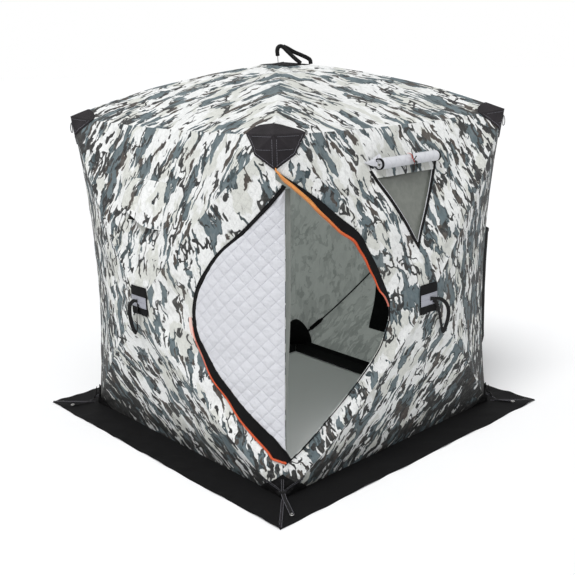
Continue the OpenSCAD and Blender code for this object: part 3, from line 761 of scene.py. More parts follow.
@dataclass(frozen=True)
class CamoCloth:
    """Coated outer cloth in a generic winter camouflage."""

    name: str = "camo_cloth"
    white: tuple = srgb(235, 236, 235)
    pale: tuple = srgb(214, 215, 209)
    slate: tuple = srgb(99, 113, 118)
    deep: tuple = srgb(54, 66, 70)
    brown: tuple = srgb(70, 63, 58)
    dark: tuple = srgb(38, 38, 38)

    def layers(self, g: Graph) -> dict[str, Value]:
        """Masks of the pattern's layers: noise on cloth coordinates that are stretched along
        the streaks, with edges broken by small random cells.

        Args:
            g: the material's graph.

        Returns:
            Masks from 0 to 1 by layer.
        """
        uv = g.cloth()
        x, y, z = g.parts(g.spot())
        # Extra dark pattern towards the bottom and where x and y have the same sign: partly the
        # pattern's own spread and partly painted shade on the lower and turned-away cloth.
        pattern_and_shade_bias = (x * y).larger(0) * 0.095 + (0.6 - z).larger(0) * 0.12
        soft = g.warped(uv, g.noise(uv, 7.0, 1, 0.5, True), 0.07)
        lobes = g.warped(soft, g.noise(g.placed(uv, (1, 0.5, 1)), 36, 1, 0.5, True), 0.040)
        rag = g.warped(lobes, g.noise(g.placed(uv, (1, 0.5, 1)), 95, 1, 0.5, True), 0.016)
        fingers = g.noise(g.placed(rag, (56, 9, 1)), 1.0, 0) - 0.5
        big = g.noise(g.placed(rag, (11.5, 4.2, 1)), 1.0, 1, 0.45) + fingers * 0.42 + pattern_and_shade_bias
        body = g.noise(g.placed(rag, (15, 6.0, 1), 0, (7, 4, 0)), 1.0, 1, 0.5) + fingers * 0.46
        spots = g.noise(g.placed(rag, (24, 9, 1), 0, (1, 8, 0)), 1.0, 1, 0.5) + fingers * 0.36
        twig = g.noise(g.placed(soft, (15, 10, 1), 14, (2, 9, 0)), 1.0, 1, 0.6)
        thorn = g.noise(g.placed(soft, (64, 15, 1), -34, (3, 1, 0)), 1.0, 0)
        where = g.noise(g.placed(uv, (9, 6.5, 1), 0, (1, 5, 0)), 1.0, 1, 0.5)
        hem = g.noise(g.placed(uv, (11, 8, 1), 0, (8, 2, 0)), 1.0, 1, 0.5)
        near = (twig - 0.5).absolute()
        claw = thorn.over(0.60, 0.03) * (1 - near.over(0.105, 0.01))
        branch = (1 - near.over(0.034, 0.012)).larger(claw) * where.over(0.570, 0.02)
        edge = (1 - (big - 0.575).absolute().over(0.026, 0.01)) * (hem + pattern_and_shade_bias).over(0.43, 0.04)
        return {"slate": big.over(0.575, 0.014), "deep": edge,
                "cloud": g.noise(g.placed(rag, (30, 10, 1), 0, (4, 4, 0)), 1.0, 2, 0.6),
                "brown": (body + pattern_and_shade_bias).over(0.675, 0.014),
                "dark": branch.larger((spots + pattern_and_shade_bias * 2.8).over(0.712, 0.014)),
                "pale": g.noise(g.placed(rag, (9, 5, 1), 0, (5, 2, 0)), 1.0, 2, 0.5)}

    def colour(self, g: Graph, layers: dict[str, Value]) -> Value:
        """The pattern's colour from its layers."""
        tone = g.mix(layers["pale"].over(0.54, 0.05), self.white, self.pale)
        slate = g.mix((layers["cloud"] - 0.46) * 2.4, self.slate, self.deep)
        tone = g.mix(layers["slate"], tone, slate)
        tone = g.mix(layers["deep"], tone, self.deep)
        tone = g.mix(layers["brown"], tone, self.brown)
        return g.mix(layers["dark"], tone, self.dark)

    def build(self) -> bpy.types.Material:
        """Makes the material."""
        g = Graph(self.name)
        uv = g.cloth()
        tone = self.colour(g, self.layers(g))
        grime = g.noise(g.spot(), 3.0, 3, 0.6)
        tone = g.mix((grime - 0.5).larger(0) * 0.35, tone, srgb(170, 168, 160))
        quilt = self.quilt(g, uv)
        fine = g.noise(g.placed(uv, (1, 0.6, 1)), 42, 4, 0.62)
        crease_shade = (g.noise(g.placed(uv, (1, 0.45, 1)), 62, 3, 0.7) - 0.5).absolute()
        # Painted shade: darker along thin crease lines, and in mottled patches where the fine
        # crumple noise is high.
        tone = g.mix((0.05 - crease_shade).larger(0) * 3.0, tone, srgb(120, 122, 122))
        tone = g.mix((fine - 0.50).larger(0) * 1.3, tone, srgb(146, 147, 144))
        height = quilt * 0.3 + fine * 0.65 + weave(g, uv, 0.0016) * 0.05
        return g.surface({
            "Base Color": tone, "Roughness": 0.62 + fine * 0.16, "Specular IOR Level": 0.3,
            "Normal": g.bump(height, 0.008, 0.7)})

    @staticmethod
    def quilt(g: Graph, uv: Value, pitch: float = 0.040) -> Value:
        """Diamond quilting: two crossed rows of rounded swells, low along the stitch lines."""
        x, y, _ = g.parts(g.placed(uv, (1, 1, 1), 45))
        a, b = ((c * (math.pi / pitch)).sine().absolute() for c in (x, y))
        return a.over(0.12, 0.24) * b.over(0.12, 0.24)


@dataclass(frozen=True)
class InnerCloth(CamoCloth):
    """Inner face of the insulated cloth, through which the camouflage shows faintly as painted
    shade.
    """

    name: str = "inner_cloth"
    base: tuple = srgb(198, 203, 199)
    shade: tuple = srgb(144, 150, 147)
    glow: float = 0.19

    def build(self) -> bpy.types.Material:
        """Makes the material. A faint glow stands for the daylight that the cloth lets in."""
        g = Graph(self.name)
        uv = g.cloth()
        layers = self.layers(g)
        # Painted shade: the camouflage and soft streaks darken the inner face as if seen against
        # the daylight through the cloth.
        cover = (layers["slate"] * 0.45 + layers["dark"] * 0.7 + layers["brown"] * 0.5).smaller(1)
        soft = g.noise(g.placed(uv, (26, 7, 1)), 1.0, 4, 0.6)
        tone = g.mix(cover * 0.6 + (soft - 0.4) * 0.8, self.base, self.shade)
        height = self.quilt(g, uv) * 0.6 + soft * 0.4
        return g.surface({"Base Color": tone, "Roughness": 0.75, "Specular IOR Level": 0.25,
                          "Emission Color": tone, "Emission Strength": self.glow,
                          "Normal": g.bump(height, 0.004, 0.5)})


@dataclass(frozen=True)
class QuiltedLining:
    """White quilted lining in stitched diamonds."""

    name: str = "quilted_lining"
    base: tuple = srgb(206, 207, 212)
    quilt_shade: tuple = srgb(186, 187, 195)
    pitch: float = 0.055

    def build(self) -> bpy.types.Material:
        """Makes the material."""
        g = Graph(self.name)
        uv = g.cloth()
        quilt = CamoCloth.quilt(g, uv, self.pitch)
        crush = g.noise(uv, 34, 5, 0.68)
        # Painted shade along the quilting's low stitch lines and in the crumples.
        tone = g.mix((1 - quilt) * 0.45 + (crush - 0.5) * 1.1, self.base, self.quilt_shade)
        height = crush * 0.85 + quilt * 0.15
        return g.surface({"Base Color": tone, "Roughness": 0.42 + crush * 0.2,
                          "Sheen Weight": 0.15, "Normal": g.bump(height, 0.010, 0.9)})


@dataclass(frozen=True)
class PlainCloth:
    """Woven cloth of one colour, with soft wear and dust."""

    name: str
    base: tuple
    worn: tuple
    pitch: float = 0.0022
    rough: float = 0.72
    crumple: float = 9.0
    relief: float = 0.003

    def build(self) -> bpy.types.Material:
        """Makes the material."""
        g = Graph(self.name)
        uv = g.cloth()
        cloud = g.noise(g.spot(), self.crumple, 4, 0.6)
        threads = weave(g, uv, self.pitch)
        tone = g.mix((cloud - 0.35) * 1.2, self.base, self.worn)
        height = cloud * 0.8 + threads * 0.2
        return g.surface({"Base Color": tone, "Roughness": self.rough + cloud * 0.15,
                          "Specular IOR Level": 0.14,
                          "Normal": g.bump(height, self.relief, 0.5)})


@dataclass(frozen=True)
class Webbing:
    """Ribbed webbing, with ribs along it."""

    name: str = "webbing"
    base: tuple = srgb(12, 12, 13)
    light: tuple = srgb(34, 33, 34)
    pitch: float = 0.0035

    def build(self) -> bpy.types.Material:
        """Makes the material."""
        g = Graph(self.name)
        x, y, _ = g.parts(g.cloth())
        ribs = (x * (TAU / self.pitch)).sine() * 0.5 + 0.5
        picks = (y * (TAU / 0.0025)).sine() * 0.5 + 0.5
        fuzz = g.noise(g.spot(), 120, 3, 0.6)
        tone = g.mix(ribs * 0.5 + fuzz * 0.35, self.base, self.light)
        return g.surface({"Base Color": tone, "Roughness": 0.62 + fuzz * 0.2,
                          "Specular IOR Level": 0.2,
                          "Normal": g.bump(ribs * 0.7 + picks * 0.3, 0.001, 0.7)})


@dataclass(frozen=True)
class Plastic:
    """Moulded or drawn plastic with a fine grain and rubbed high spots."""

    name: str
    base: tuple
    rubbed: tuple
    rough: float = 0.4
    grain: float = 400.0

    def build(self) -> bpy.types.Material:
        """Makes the material."""
        g = Graph(self.name)
        spot = g.spot()
        cloud = g.noise(spot, 14, 4, 0.6)
        grain = g.noise(spot, self.grain, 2, 0.5)
        tone = g.mix(cloud.over(0.58, 0.2) * 0.5, self.base, self.rubbed)
        return g.surface({"Base Color": tone, "Roughness": self.rough + grain * 0.2,
                          "Specular IOR Level": 0.5, "Normal": g.bump(grain, 0.0004, 0.5)})


@dataclass(frozen=True)
class ZipCoil:
    """Orange zip coil, with a pale painted highlight towards the top and a rosy one at half
    height.
    """

    name: str = "orange_coil"
    orange: tuple = srgb(224, 98, 54)
    highlight_yellow: tuple = srgb(244, 172, 100)
    highlight_pink: tuple = srgb(222, 142, 126)

    def build(self) -> bpy.types.Material:
        """Makes the material."""
        g = Graph(self.name)
        spot = g.spot()
        _, _, z = g.parts(spot)
        cloud = g.noise(spot, 9, 3, 0.6) - 0.5
        # Painted highlights: pale towards the top and rosy round half height.
        tone = g.mix((z + cloud * 0.3).over(1.44, 0.3), self.orange, self.highlight_yellow)
        tone = g.mix((1 - (z - 0.86 + cloud * 0.3).absolute().over(0.17, 0.16)) * 0.85, tone,
                     self.highlight_pink)
        return g.surface({"Base Color": tone, "Roughness": 0.4 + cloud * 0.1,
                          "Specular IOR Level": 0.4, "Normal": g.bump(cloud, 0.0008, 0.5)})


@dataclass(frozen=True)
class ReflectiveBand:
    """Reflective tape: small glass-bead cells under a clear face."""

    name: str = "reflective_band"
    base: tuple = srgb(150, 151, 160)
    cell: tuple = srgb(176, 178, 188)

    def build(self) -> bpy.types.Material:
        """Makes the material."""
        g = Graph(self.name)
        uv = g.cloth()
        cells = g.cells(uv, 260)
        cloud = g.noise(uv, 30, 3, 0.6)
        tone = g.mix(cells.over(0.25, 0.3) * 0.6 + cloud * 0.3, self.cell, self.base)
        return g.surface({"Base Color": tone, "Roughness": 0.34 + cloud * 0.15, "Metallic": 0.35,
                          "Normal": g.bump(cells, 0.0005, 0.4)})


@dataclass(frozen=True)
class WindowFilm:
    """Soft clear film, slightly grey and rippled: its grey is partly its own and partly painted
    shade of the dim inside behind it.
    """

    name: str = "window_film"
    grey_and_shade_tint: tuple = srgb(124, 127, 120)

    def build(self) -> bpy.types.Material:
        """Makes the material."""
        g = Graph(self.name)
        ripple = g.noise(g.cloth(), 9, 3, 0.5)
        haze = g.noise(g.cloth(), 26, 4, 0.6)
        # Partly the film's own grey and partly painted shade of the dim inside; the haze darkens
        # it at random.
        tone = g.mix(haze.over(0.5, 0.3) * 0.5, self.grey_and_shade_tint, srgb(104, 108, 102))
        return g.surface({"Base Color": tone, "Roughness": 0.16 + haze * 0.1, "Alpha": 0.72,
                          "Specular IOR Level": 0.5, "Normal": g.bump(ripple, 0.01, 0.25)})


@dataclass(frozen=True)
class Metal:
    """Plated metal with small scratches."""

    name: str = "eyelet_metal"
    base: tuple = srgb(196, 196, 194)

    def build(self) -> bpy.types.Material:
        """Makes the material."""
        g = Graph(self.name)
        cloud = g.noise(g.spot(), 160, 4, 0.7)
        tone = g.mix(cloud, self.base, srgb(140, 138, 134))
        return g.surface({"Base Color": tone, "Metallic": 1.0, "Roughness": 0.22 + cloud * 0.25,
                          "Normal": g.bump(cloud, 0.0003, 0.3)})


class Finishes:
    """Every finish of the shelter, built once."""

    def __init__(self) -> None:
        """Builds the materials."""
        self.camo = CamoCloth().build()
        self.inner = InnerCloth().build()
        self.lining = QuiltedLining().build()
        self.cap = PlainCloth("cap_cloth", srgb(34, 32, 34), srgb(62, 58, 62)).build()
        self.black = PlainCloth("black_cloth", srgb(11, 11, 12), srgb(26, 25, 26)).build()
        self.skirt = PlainCloth("skirt_cloth", srgb(11, 11, 12), srgb(20, 20, 21), 0.003, 0.8,
                                5.0, 0.006).build()
        self.tape = PlainCloth("zip_tape", srgb(8, 8, 9), srgb(24, 23, 24), 0.0018, 0.7, 20,
                               0.002).build()
        self.webbing = Webbing().build()
        self.thread = PlainCloth("grey_thread", srgb(128, 128, 136), srgb(160, 160, 168)).build()
        self.coil = ZipCoil().build()
        self.tie = PlainCloth("tie_cord", srgb(176, 70, 60), srgb(214, 130, 116), 0.001).build()
        self.olive = PlainCloth("olive_cord", srgb(34, 36, 28), srgb(62, 64, 50), 0.001).build()
        # Painted shade: the fold strip's grey stands for cloth turned into shadow behind the fold.
        self.fold = PlainCloth("fold_shade_cloth", srgb(128, 132, 128), srgb(150, 153, 148)).build()
        self.tab = PlainCloth("pale_tab", srgb(226, 190, 180), srgb(240, 214, 204)).build()
        self.rod = Plastic("rod", srgb(16, 16, 18), srgb(52, 52, 54), 0.28, 220).build()
        self.moulding = Plastic("moulding", srgb(20, 20, 21), srgb(50, 50, 52)).build()
        self.band = ReflectiveBand().build()
        self.film = WindowFilm().build()
        self.metal = Metal().build()


@dataclass(frozen=True)
class DoorForm:
    """The door's outline, as distance from the front corner along the walls and height. The
    left edge runs over the front wall and round the corner at its ends, where the distance is
    under zero. The right edge is on the right wall."""

    form: CabinForm
    mid: float = 0.930
    right: tuple = (
        (0.0, 0.165), (0.095, 0.245), (0.235, 0.395), (0.395, 0.575), (0.512, 0.722),
        (0.562, 0.845), (0.575, 0.915), (0.545, 1.060), (0.450, 1.250), (0.395, 1.355),
        (0.280, 1.460), (0.130, 1.595), (0.0, 1.695))
    left: tuple = (
        (-0.045, 0.195), (0.010, 0.285), (0.145, 0.430), (0.300, 0.612), (0.408, 0.790),
        (0.438, 0.935), (0.388, 1.100), (0.280, 1.265), (0.155, 1.385), (0.055, 1.495),
        (-0.045, 1.620))

    @staticmethod
    def even(points: Sequence[tuple[float, float]], count: int) -> Array:
        """Evenly spaced points of a smooth curve through some points, with its kinks eased."""
        path = smooth_path([(a, z, 0.0) for a, z in points], 900)[:, :2]
        length = lengths(path)
        path = sampled(np.linspace(0, length[-1], count), length, path)
        ease_it = np.array([0.1, 0.2, 0.4, 0.2, 0.1])
        for _ in range(6):
            inner = sum(w * np.roll(path, k - 2, 0) for k, w in enumerate(ease_it))
            path[2:-2] = inner[2:-2]
        return path

    def left_path(self, count: int = 400) -> Array:
        """Evenly spaced points of the left edge, from its lower end."""
        return self.even(self.left, count)

    def left_gap(self, z: Array) -> Array:
        """Distance of the left edge from the corner at a height."""
        path = self.left_path()
        return np.interp(z, path[:, 1], path[:, 0])

    def right_gap(self, z: Array) -> Array:
        """Distance of the right edge from the corner at a height."""
        path = self.even(self.right, 300)
        return np.interp(z, path[:, 1], path[:, 0], 0.0, 0.0)

    def wrapped(self, a: Array, z: Array, off: Union[float, Array]) -> Array:
        """Points at a distance from the front corner, on the front wall, or on the right wall
        where it is under zero, off the cloth."""
        a, z, off = np.broadcast_arrays(*(np.asarray(v, float) for v in (a, z, off)))
        p = self.form.edge_half(z) - np.abs(a)
        front = self.form.on_wall(Side.FRONT, p, z, off)
        right = self.form.on_wall(Side.RIGHT, -p, z, off)
        return np.where((a > 0)[..., None], front, right)

    def left_edge(self, path: Array, reach: Array, off: Union[float, Array]) -> Array:
        """Points beside the left edge, moved away from the door by reach, off the cloth.

        Args:
            path: points of the edge, n by 2.
            reach: distances from the edge, n by k, or 1 by k.
            off: distances off the cloth.

        Returns:
            The points, n by k by 3.
        """
        along = unit(np.gradient(path, axis=0))
        away = np.stack([along[:, 1], -along[:, 0]], 1)
        moved = path[:, None] + away[:, None] * reach[..., None]
        return self.wrapped(moved[..., 0], moved[..., 1], off)

    def right_edge(self, z: Array, reach: Union[float, Array],
                   off: Union[float, Array]) -> Array:
        """Points beside the right edge, moved away from the door by reach, off the cloth."""
        step = 0.001
        a, b = self.right_gap(z - step), self.right_gap(z + step)
        long = np.hypot(b - a, 2 * step)
        gap = (a + b) / 2 + reach * 2 * step / long
        return self.wrapped(-gap, z - reach * (b - a) / long, off)


@dataclass
class Part:
    """A sub-assembly of the shelter, with the cloth's surfaces and the finishes."""

    form: CabinForm
    finishes: Finishes

    def laid(self, side: Side, p: Array, z: Array, outer: Union[float, Array],
             inner: Union[float, Array], wrap: bool = False,
             slots: tuple[int, int, int] = (0, 0, 0), shift: Sequence[float] = (0, 0)) -> Builder:
        """Sheet that follows a wall between two distances off its cloth.

        Args:
            side: the wall.
            p: places along the wall.
            z: heights.
            outer: distance of the outer face.
            inner: distance of the inner face.
            wrap: True where the last column joins the first.
            slots: material slots of the outer face, the inner face and the rim.
            shift: what is added to the cloth coordinates.

        Returns:
            A builder that holds the sheet.
        """
        faces = [self.form.on_wall(side, p, z, off) for off in (outer, inner)]
        return Builder().sheet(*faces, grid_coords(p + shift[0], z + shift[1]), wrap, slots)


@dataclass
class Cabin(Part):
    """The walls and the roof: one stretched sheet of insulated cloth for each gore."""

    door: DoorForm
    rows: int = 56
    cols: int = 72
    window: tuple = ((-0.294, 1.625), (0.186, 1.625), (-0.054, 1.240))
    vent: tuple = ((-0.155, 1.360), (0.155, 1.360), (0.155, 1.480), (-0.155, 1.480))
    strip_l: float = 2.60
    door_gores: dict = field(default_factory=lambda: {
        (Side.FRONT, Gore.RIGHT): 0.50, (Side.RIGHT, Gore.LEFT): 0.59})
    lap: float = 0.010
    slants: dict = field(default_factory=lambda: {
        (Side.FRONT, Gore.TOP): 14, (Side.FRONT, Gore.LEFT): -8, (Side.FRONT, Gore.RIGHT): -12,
        (Side.FRONT, Gore.BOTTOM): -38, (Side.RIGHT, Gore.TOP): -24, (Side.RIGHT, Gore.LEFT): -16,
        (Side.RIGHT, Gore.RIGHT): -4, (Side.RIGHT, Gore.BOTTOM): 30})

    def slanted(self, side: Side, gore: Gore, p: Array, z: Array) -> Array:
        """Cloth coordinates of a wall: place and height turned by the gore's cut."""
        twin = {Side.BACK: Side.FRONT, Side.LEFT: Side.RIGHT}.get(side, side)
        slant = math.radians(self.slants[(twin, gore)])
        shift = 2.7 * side.index
        u = p * math.cos(slant) - z * math.sin(slant) + shift
        v = p * math.sin(slant) + z * math.cos(slant) + 0.4 * shift
        return grid_coords(u, v)

    def plain_grid(self) -> tuple[Array, Array]:
        """Shares of the way out and places across, for a whole gore."""
        grid = spans(self.rows, self.cols, (self.form.hub_share, 1), (-1, 1))
        return np.broadcast_arrays(*grid)

    def door_grid(self, side: Side) -> tuple[Array, Array]:
        """The same for the gore next to the door, which ends at the door's outline."""
        form, door = self.form, self.door
        turn = np.cos(np.linspace(math.pi, 0, 73))
        if side is Side.FRONT:
            path = door.left_path()
            path = path[path[:, 0] > 0]
            z = (path[0, 1] + path[-1, 1]) / 2 + (path[-1, 1] - path[0, 1]) / 2 * turn
            gap, skip = door.left_gap(z) + self.lap * ease((1 - np.abs(turn)) / 0.1), 0.0
        else:
            low, high = door.left[0][1], door.left[-1][1]
            z = (low + high) / 2 + (high - low) / 2 * turn
            gap, skip = door.right_gap(z), 0.004
        share, w, _ = form.place(form.edge_half(z) - gap, z)
        low = np.linspace(-1, w[0] - skip, 9)[:None if skip else -1]
        high = np.linspace(w[-1] + skip, 1, 9)[0 if skip else 1:]
        ends = np.concatenate([low * 0 + 1, np.minimum(1, share), high * 0 + 1])
        w = np.concatenate([low, w, high])
        t = np.linspace(0, 1, self.rows)[:, None]
        return np.broadcast_arrays(form.hub_share + t * (ends[None] - form.hub_share), w[None])

    def holed_grid(self, outline: Sequence[Sequence[float]]) -> tuple[Array, Array]:
        """Places and heights of an upper gore with a hole: rings between the hole's outline
        and the gore's own, both read by angle about the hole's middle."""
        form = self.form
        hole = np.asarray(outline, float)
        middle = hole.mean(0)
        dense = np.linspace(0, 1, 400)
        corners = np.concatenate([hole, hole[:1]])
        inner = np.concatenate([a + (b - a) * dense[:, None]
                                for a, b in zip(corners[:-1], corners[1:])])
        s, w = np.linspace(form.hub_share, 1, 900), np.linspace(-1, 1, 900)
        one = np.ones(900)
        border = [(s, one), (one, w[::-1]), (s[::-1], -one), (one * form.hub_share, w)]
        outer = np.concatenate([self.flat_top(a, b) for a, b in border])

        def polar(line: Array) -> tuple[Array, Array]:
            """Angles and distances of a line about the hole's middle, in order of angle."""
            d = line - middle
            turn = np.arctan2(d[:, 1], d[:, 0]) % TAU
            order = np.argsort(turn)
            return turn[order], np.hypot(d[:, 0], d[:, 1])[order]

        key = np.concatenate([hole, self.flat_top(np.array([1, 1, 0.03, 0.03]),
                                                  np.array([-1, 1, -1, 1]))]) - middle
        turn = np.sort(np.concatenate([np.arange(168) * TAU / 168,
                                       np.arctan2(key[:, 1], key[:, 0]) % TAU]))
        near, far = (np.interp(turn, *polar(line), period=TAU) for line in (inner, outer))
        t = (np.linspace(0, 1, 44) ** 0.85)[:, None]
        r = near + (far - near) * t
        return middle[0] + r * np.cos(turn), middle[1] + r * np.sin(turn)

    def flat_top(self, s: Array, w: Array) -> Array:
        """Place and height of points of an upper gore."""
        z0 = self.form.hub_h + s * self.form.above
        p = w * s * self.form.edge_half(z0)
        return np.stack([p, self.form.hub_h + s * self.form.eave_rise(p)], -1)

    def wall_gore(self, side: Side, gore: Gore) -> None:
        """One gore of a wall, outer face and inner face, with its opening."""
        form = self.form
        hole = gore is Gore.TOP
        wide = self.door_gores.get((side, gore))
        if hole:
            p, z = self.holed_grid(
                self.window if side in (Side.RIGHT, Side.LEFT) else self.vent)
            faces = [form.on_wall(side, p, z, off) for off in (0.0, -form.cloth_t)]
        else:
            s, w = self.plain_grid() if wide is None else self.door_grid(side)
            local = form.gore_point(side, gore, s, w)
            p, z = local[..., 0], local[..., 2]
            faces = [side.turned(form.gore_point(side, gore, s, w, off))
                     for off in (0.0, -form.cloth_t)]
        made = Builder().sheet(*faces, self.slanted(side, gore, p, z), hole, (0, 1, 0))
        name = f"{side.value}_wall_{gore.value}"
        flat = (1.86, 1.04) if gore in (Gore.TOP, Gore.BOTTOM) else (1.90, 0.98)
        if wide is not None:
            flat = (self.strip_l, 0.90 - wide)
        made.cloth(name + "_cloth", "camo_cloth", [self.finishes.camo, self.finishes.inner], flat,
                   "stretched", [f"{side.value}_rods", "hubs"], [name])

    def roof_gore(self, side: Side) -> None:
        """One gore of the roof. Its streaks run along the front corner's other diagonal."""
        form = self.form
        s, w = spans(self.rows, self.cols, (form.hub_share * 0.6, 1), (-1, 1))
        faces = [side.turned(form.roof_point(side, s, w, off)) for off in (0.0, -form.cloth_t)]
        x, y = faces[0][..., 0], faces[0][..., 1]
        coords = grid_coords((x - y) * math.sqrt(0.5) + 11.0, (x + y) * math.sqrt(0.5) + 3.0)
        made = Builder().sheet(*faces, coords, slots=(0, 1, 0))
        made.cloth(f"roof_{side.value}_cloth", "camo_cloth",
                   [self.finishes.camo, self.finishes.inner], (1.86, 1.02), "stretched",
                   ["roof_rods", "hubs"], [f"roof_{side.value}"])

    def lap_over(self, upper: bool) -> None:
        """The front wall's cloth that laps round the corner over an end of the door: a small
        triangle on the right wall between the corner and the end."""
        form, door = self.form, self.door
        tip, cut = (-1, (0.05, 0.14)) if upper else (0, (0.05, 0.17))
        z = np.array(door.left[tip][1])
        path = door.left_path()
        cross = path[path[:, 0] > 0][-1 if upper else 0, 1]
        share, w_tip, _ = form.place(form.edge_half(z) + door.left[tip][0], z)
        _, w_edge, _ = form.place(form.edge_half(np.array(cross)), np.array(cross))
        t, c = spans(24, 18, (0.002, 1), (-0.02, 1))
        s = share + (1 - share) * t
        w = w_tip + (w_edge - w_tip) * t * c
        local = form.gore_point(Side.RIGHT, Gore.LEFT, s, w)
        faces = [Side.RIGHT.turned(form.gore_point(Side.RIGHT, Gore.LEFT, s, w, off))
                 for off in (0.0004, -form.cloth_t)]
        coords = self.slanted(Side.FRONT, Gore.RIGHT, 1.8 + local[..., 0], local[..., 2])
        made = Builder().sheet(*faces, coords, slots=(0, 1, 0))
        name = f"door_lap_{'top' if upper else 'foot'}"
        made.cloth(name, "camo_cloth", [self.finishes.camo, self.finishes.inner], cut, "stretched",
                   ["front_wall_right_cloth"])

    def build(self) -> None:
        """Builds every gore."""
        self.lap_over(True)
        self.lap_over(False)
        for side in Side:
            for gore in Gore:
                self.wall_gore(side, gore)
            self.roof_gore(side)


@dataclass
class Skirt(Part):
    """The black skirt on the ground, with eyelets in its corners."""

    wide: float = 0.225
    thick: float = 0.003
    rise: float = 0.009
    eyelet_in: float = 0.045

    def strip(self, side: Side) -> None:
        """One side, mitred at its ends. Its surface lifts in long low waves that grow towards
        the outer edge, and the edge itself wanders a little."""
        t, c = spans(22, 150, over=(-1, 1))
        inner = self.form.half_at(np.array(0.0)) + 0.0008
        q = inner + (self.form.base_half + self.wide - inner) * t
        wander = waves(80 + side.index, c, c * 0, 6, 0.12, 0.5) * 0.004 * t * (1 - c ** 8)
        p = c * q
        fold = waves(90 + side.index, p, q, 8, 0.10, 0.42)
        tip = ease((np.abs(c) - 0.80) / 0.2) * t ** 2
        lift = self.rise * t ** 1.3 * ease((fold + 0.5) / 2.0) + 0.006 * tip * (0.6 + 0.4 * fold)
        lift = np.clip(lift * ease((1 - np.abs(c)) / 0.02 + 0.35), 0, None)
        low = np.stack(np.broadcast_arrays(p, q - wander, lift), -1)
        high = low + np.array([0, 0, self.thick])
        made = Builder().sheet(side.turned(high), side.turned(low), grid_coords(p, q))
        made.cloth(f"skirt_{side.value}_cloth", "skirt_cloth", [self.finishes.skirt],
                   (0.235, 2.25), "laid", ["ground_hem"], [f"skirt_{side.value}"])

    def seams(self) -> None:
        """A raised seam along each mitre, from the cabin's corner to the skirt's, with a row
        of thread on both sides."""
        made, thread = Builder(), Builder()
        for x, y in ((1, -1), (-1, -1), (-1, 1), (1, 1)):
            r = np.linspace(self.form.base_half + 0.02, self.form.base_half + self.wide - 0.004,
                            30)
            lift = self.thick + 0.0015 + 0.004 * ((r - 0.9) / self.wide) ** 1.5
            path = np.stack([x * r, y * r, lift], 1)
            across = unit(np.array([y, -x, 0.0]))
            made.carried(path, across, UP, strap_section(0.009, 0.003))
            for hand in (-1, 1):
                row = path + across * 0.0065 * hand + UP * 0.0012
                thread.stitches(row, UP, 0.006, 0.0085)
        made.piece("skirt_seams", "skirt_cloth", [self.finishes.cap])
        thread.piece("skirt_thread", "skirt_cloth", [self.finishes.thread])

    def eyelets(self) -> None:
        """Pressed eyelets: a rolled rim turned about the hole."""
        at = self.form.base_half + self.wide - self.eyelet_in
        rim = rim_section(0.0086, 0.0042)
        made = Builder()
        for x in (-1, 1):
            for y in (-1, 1):
                made.lathe(rim, (x * at, y * at, self.thick + 0.0060), (0, 0, 1), 36)
        made.piece("eyelet_rims", "eyelet", [self.finishes.moulding], ["skirt_eyelets"])

    def build(self) -> None:
        """Builds the skirt."""
        for side in Side:
            self.strip(side)
        self.seams()
        self.eyelets()


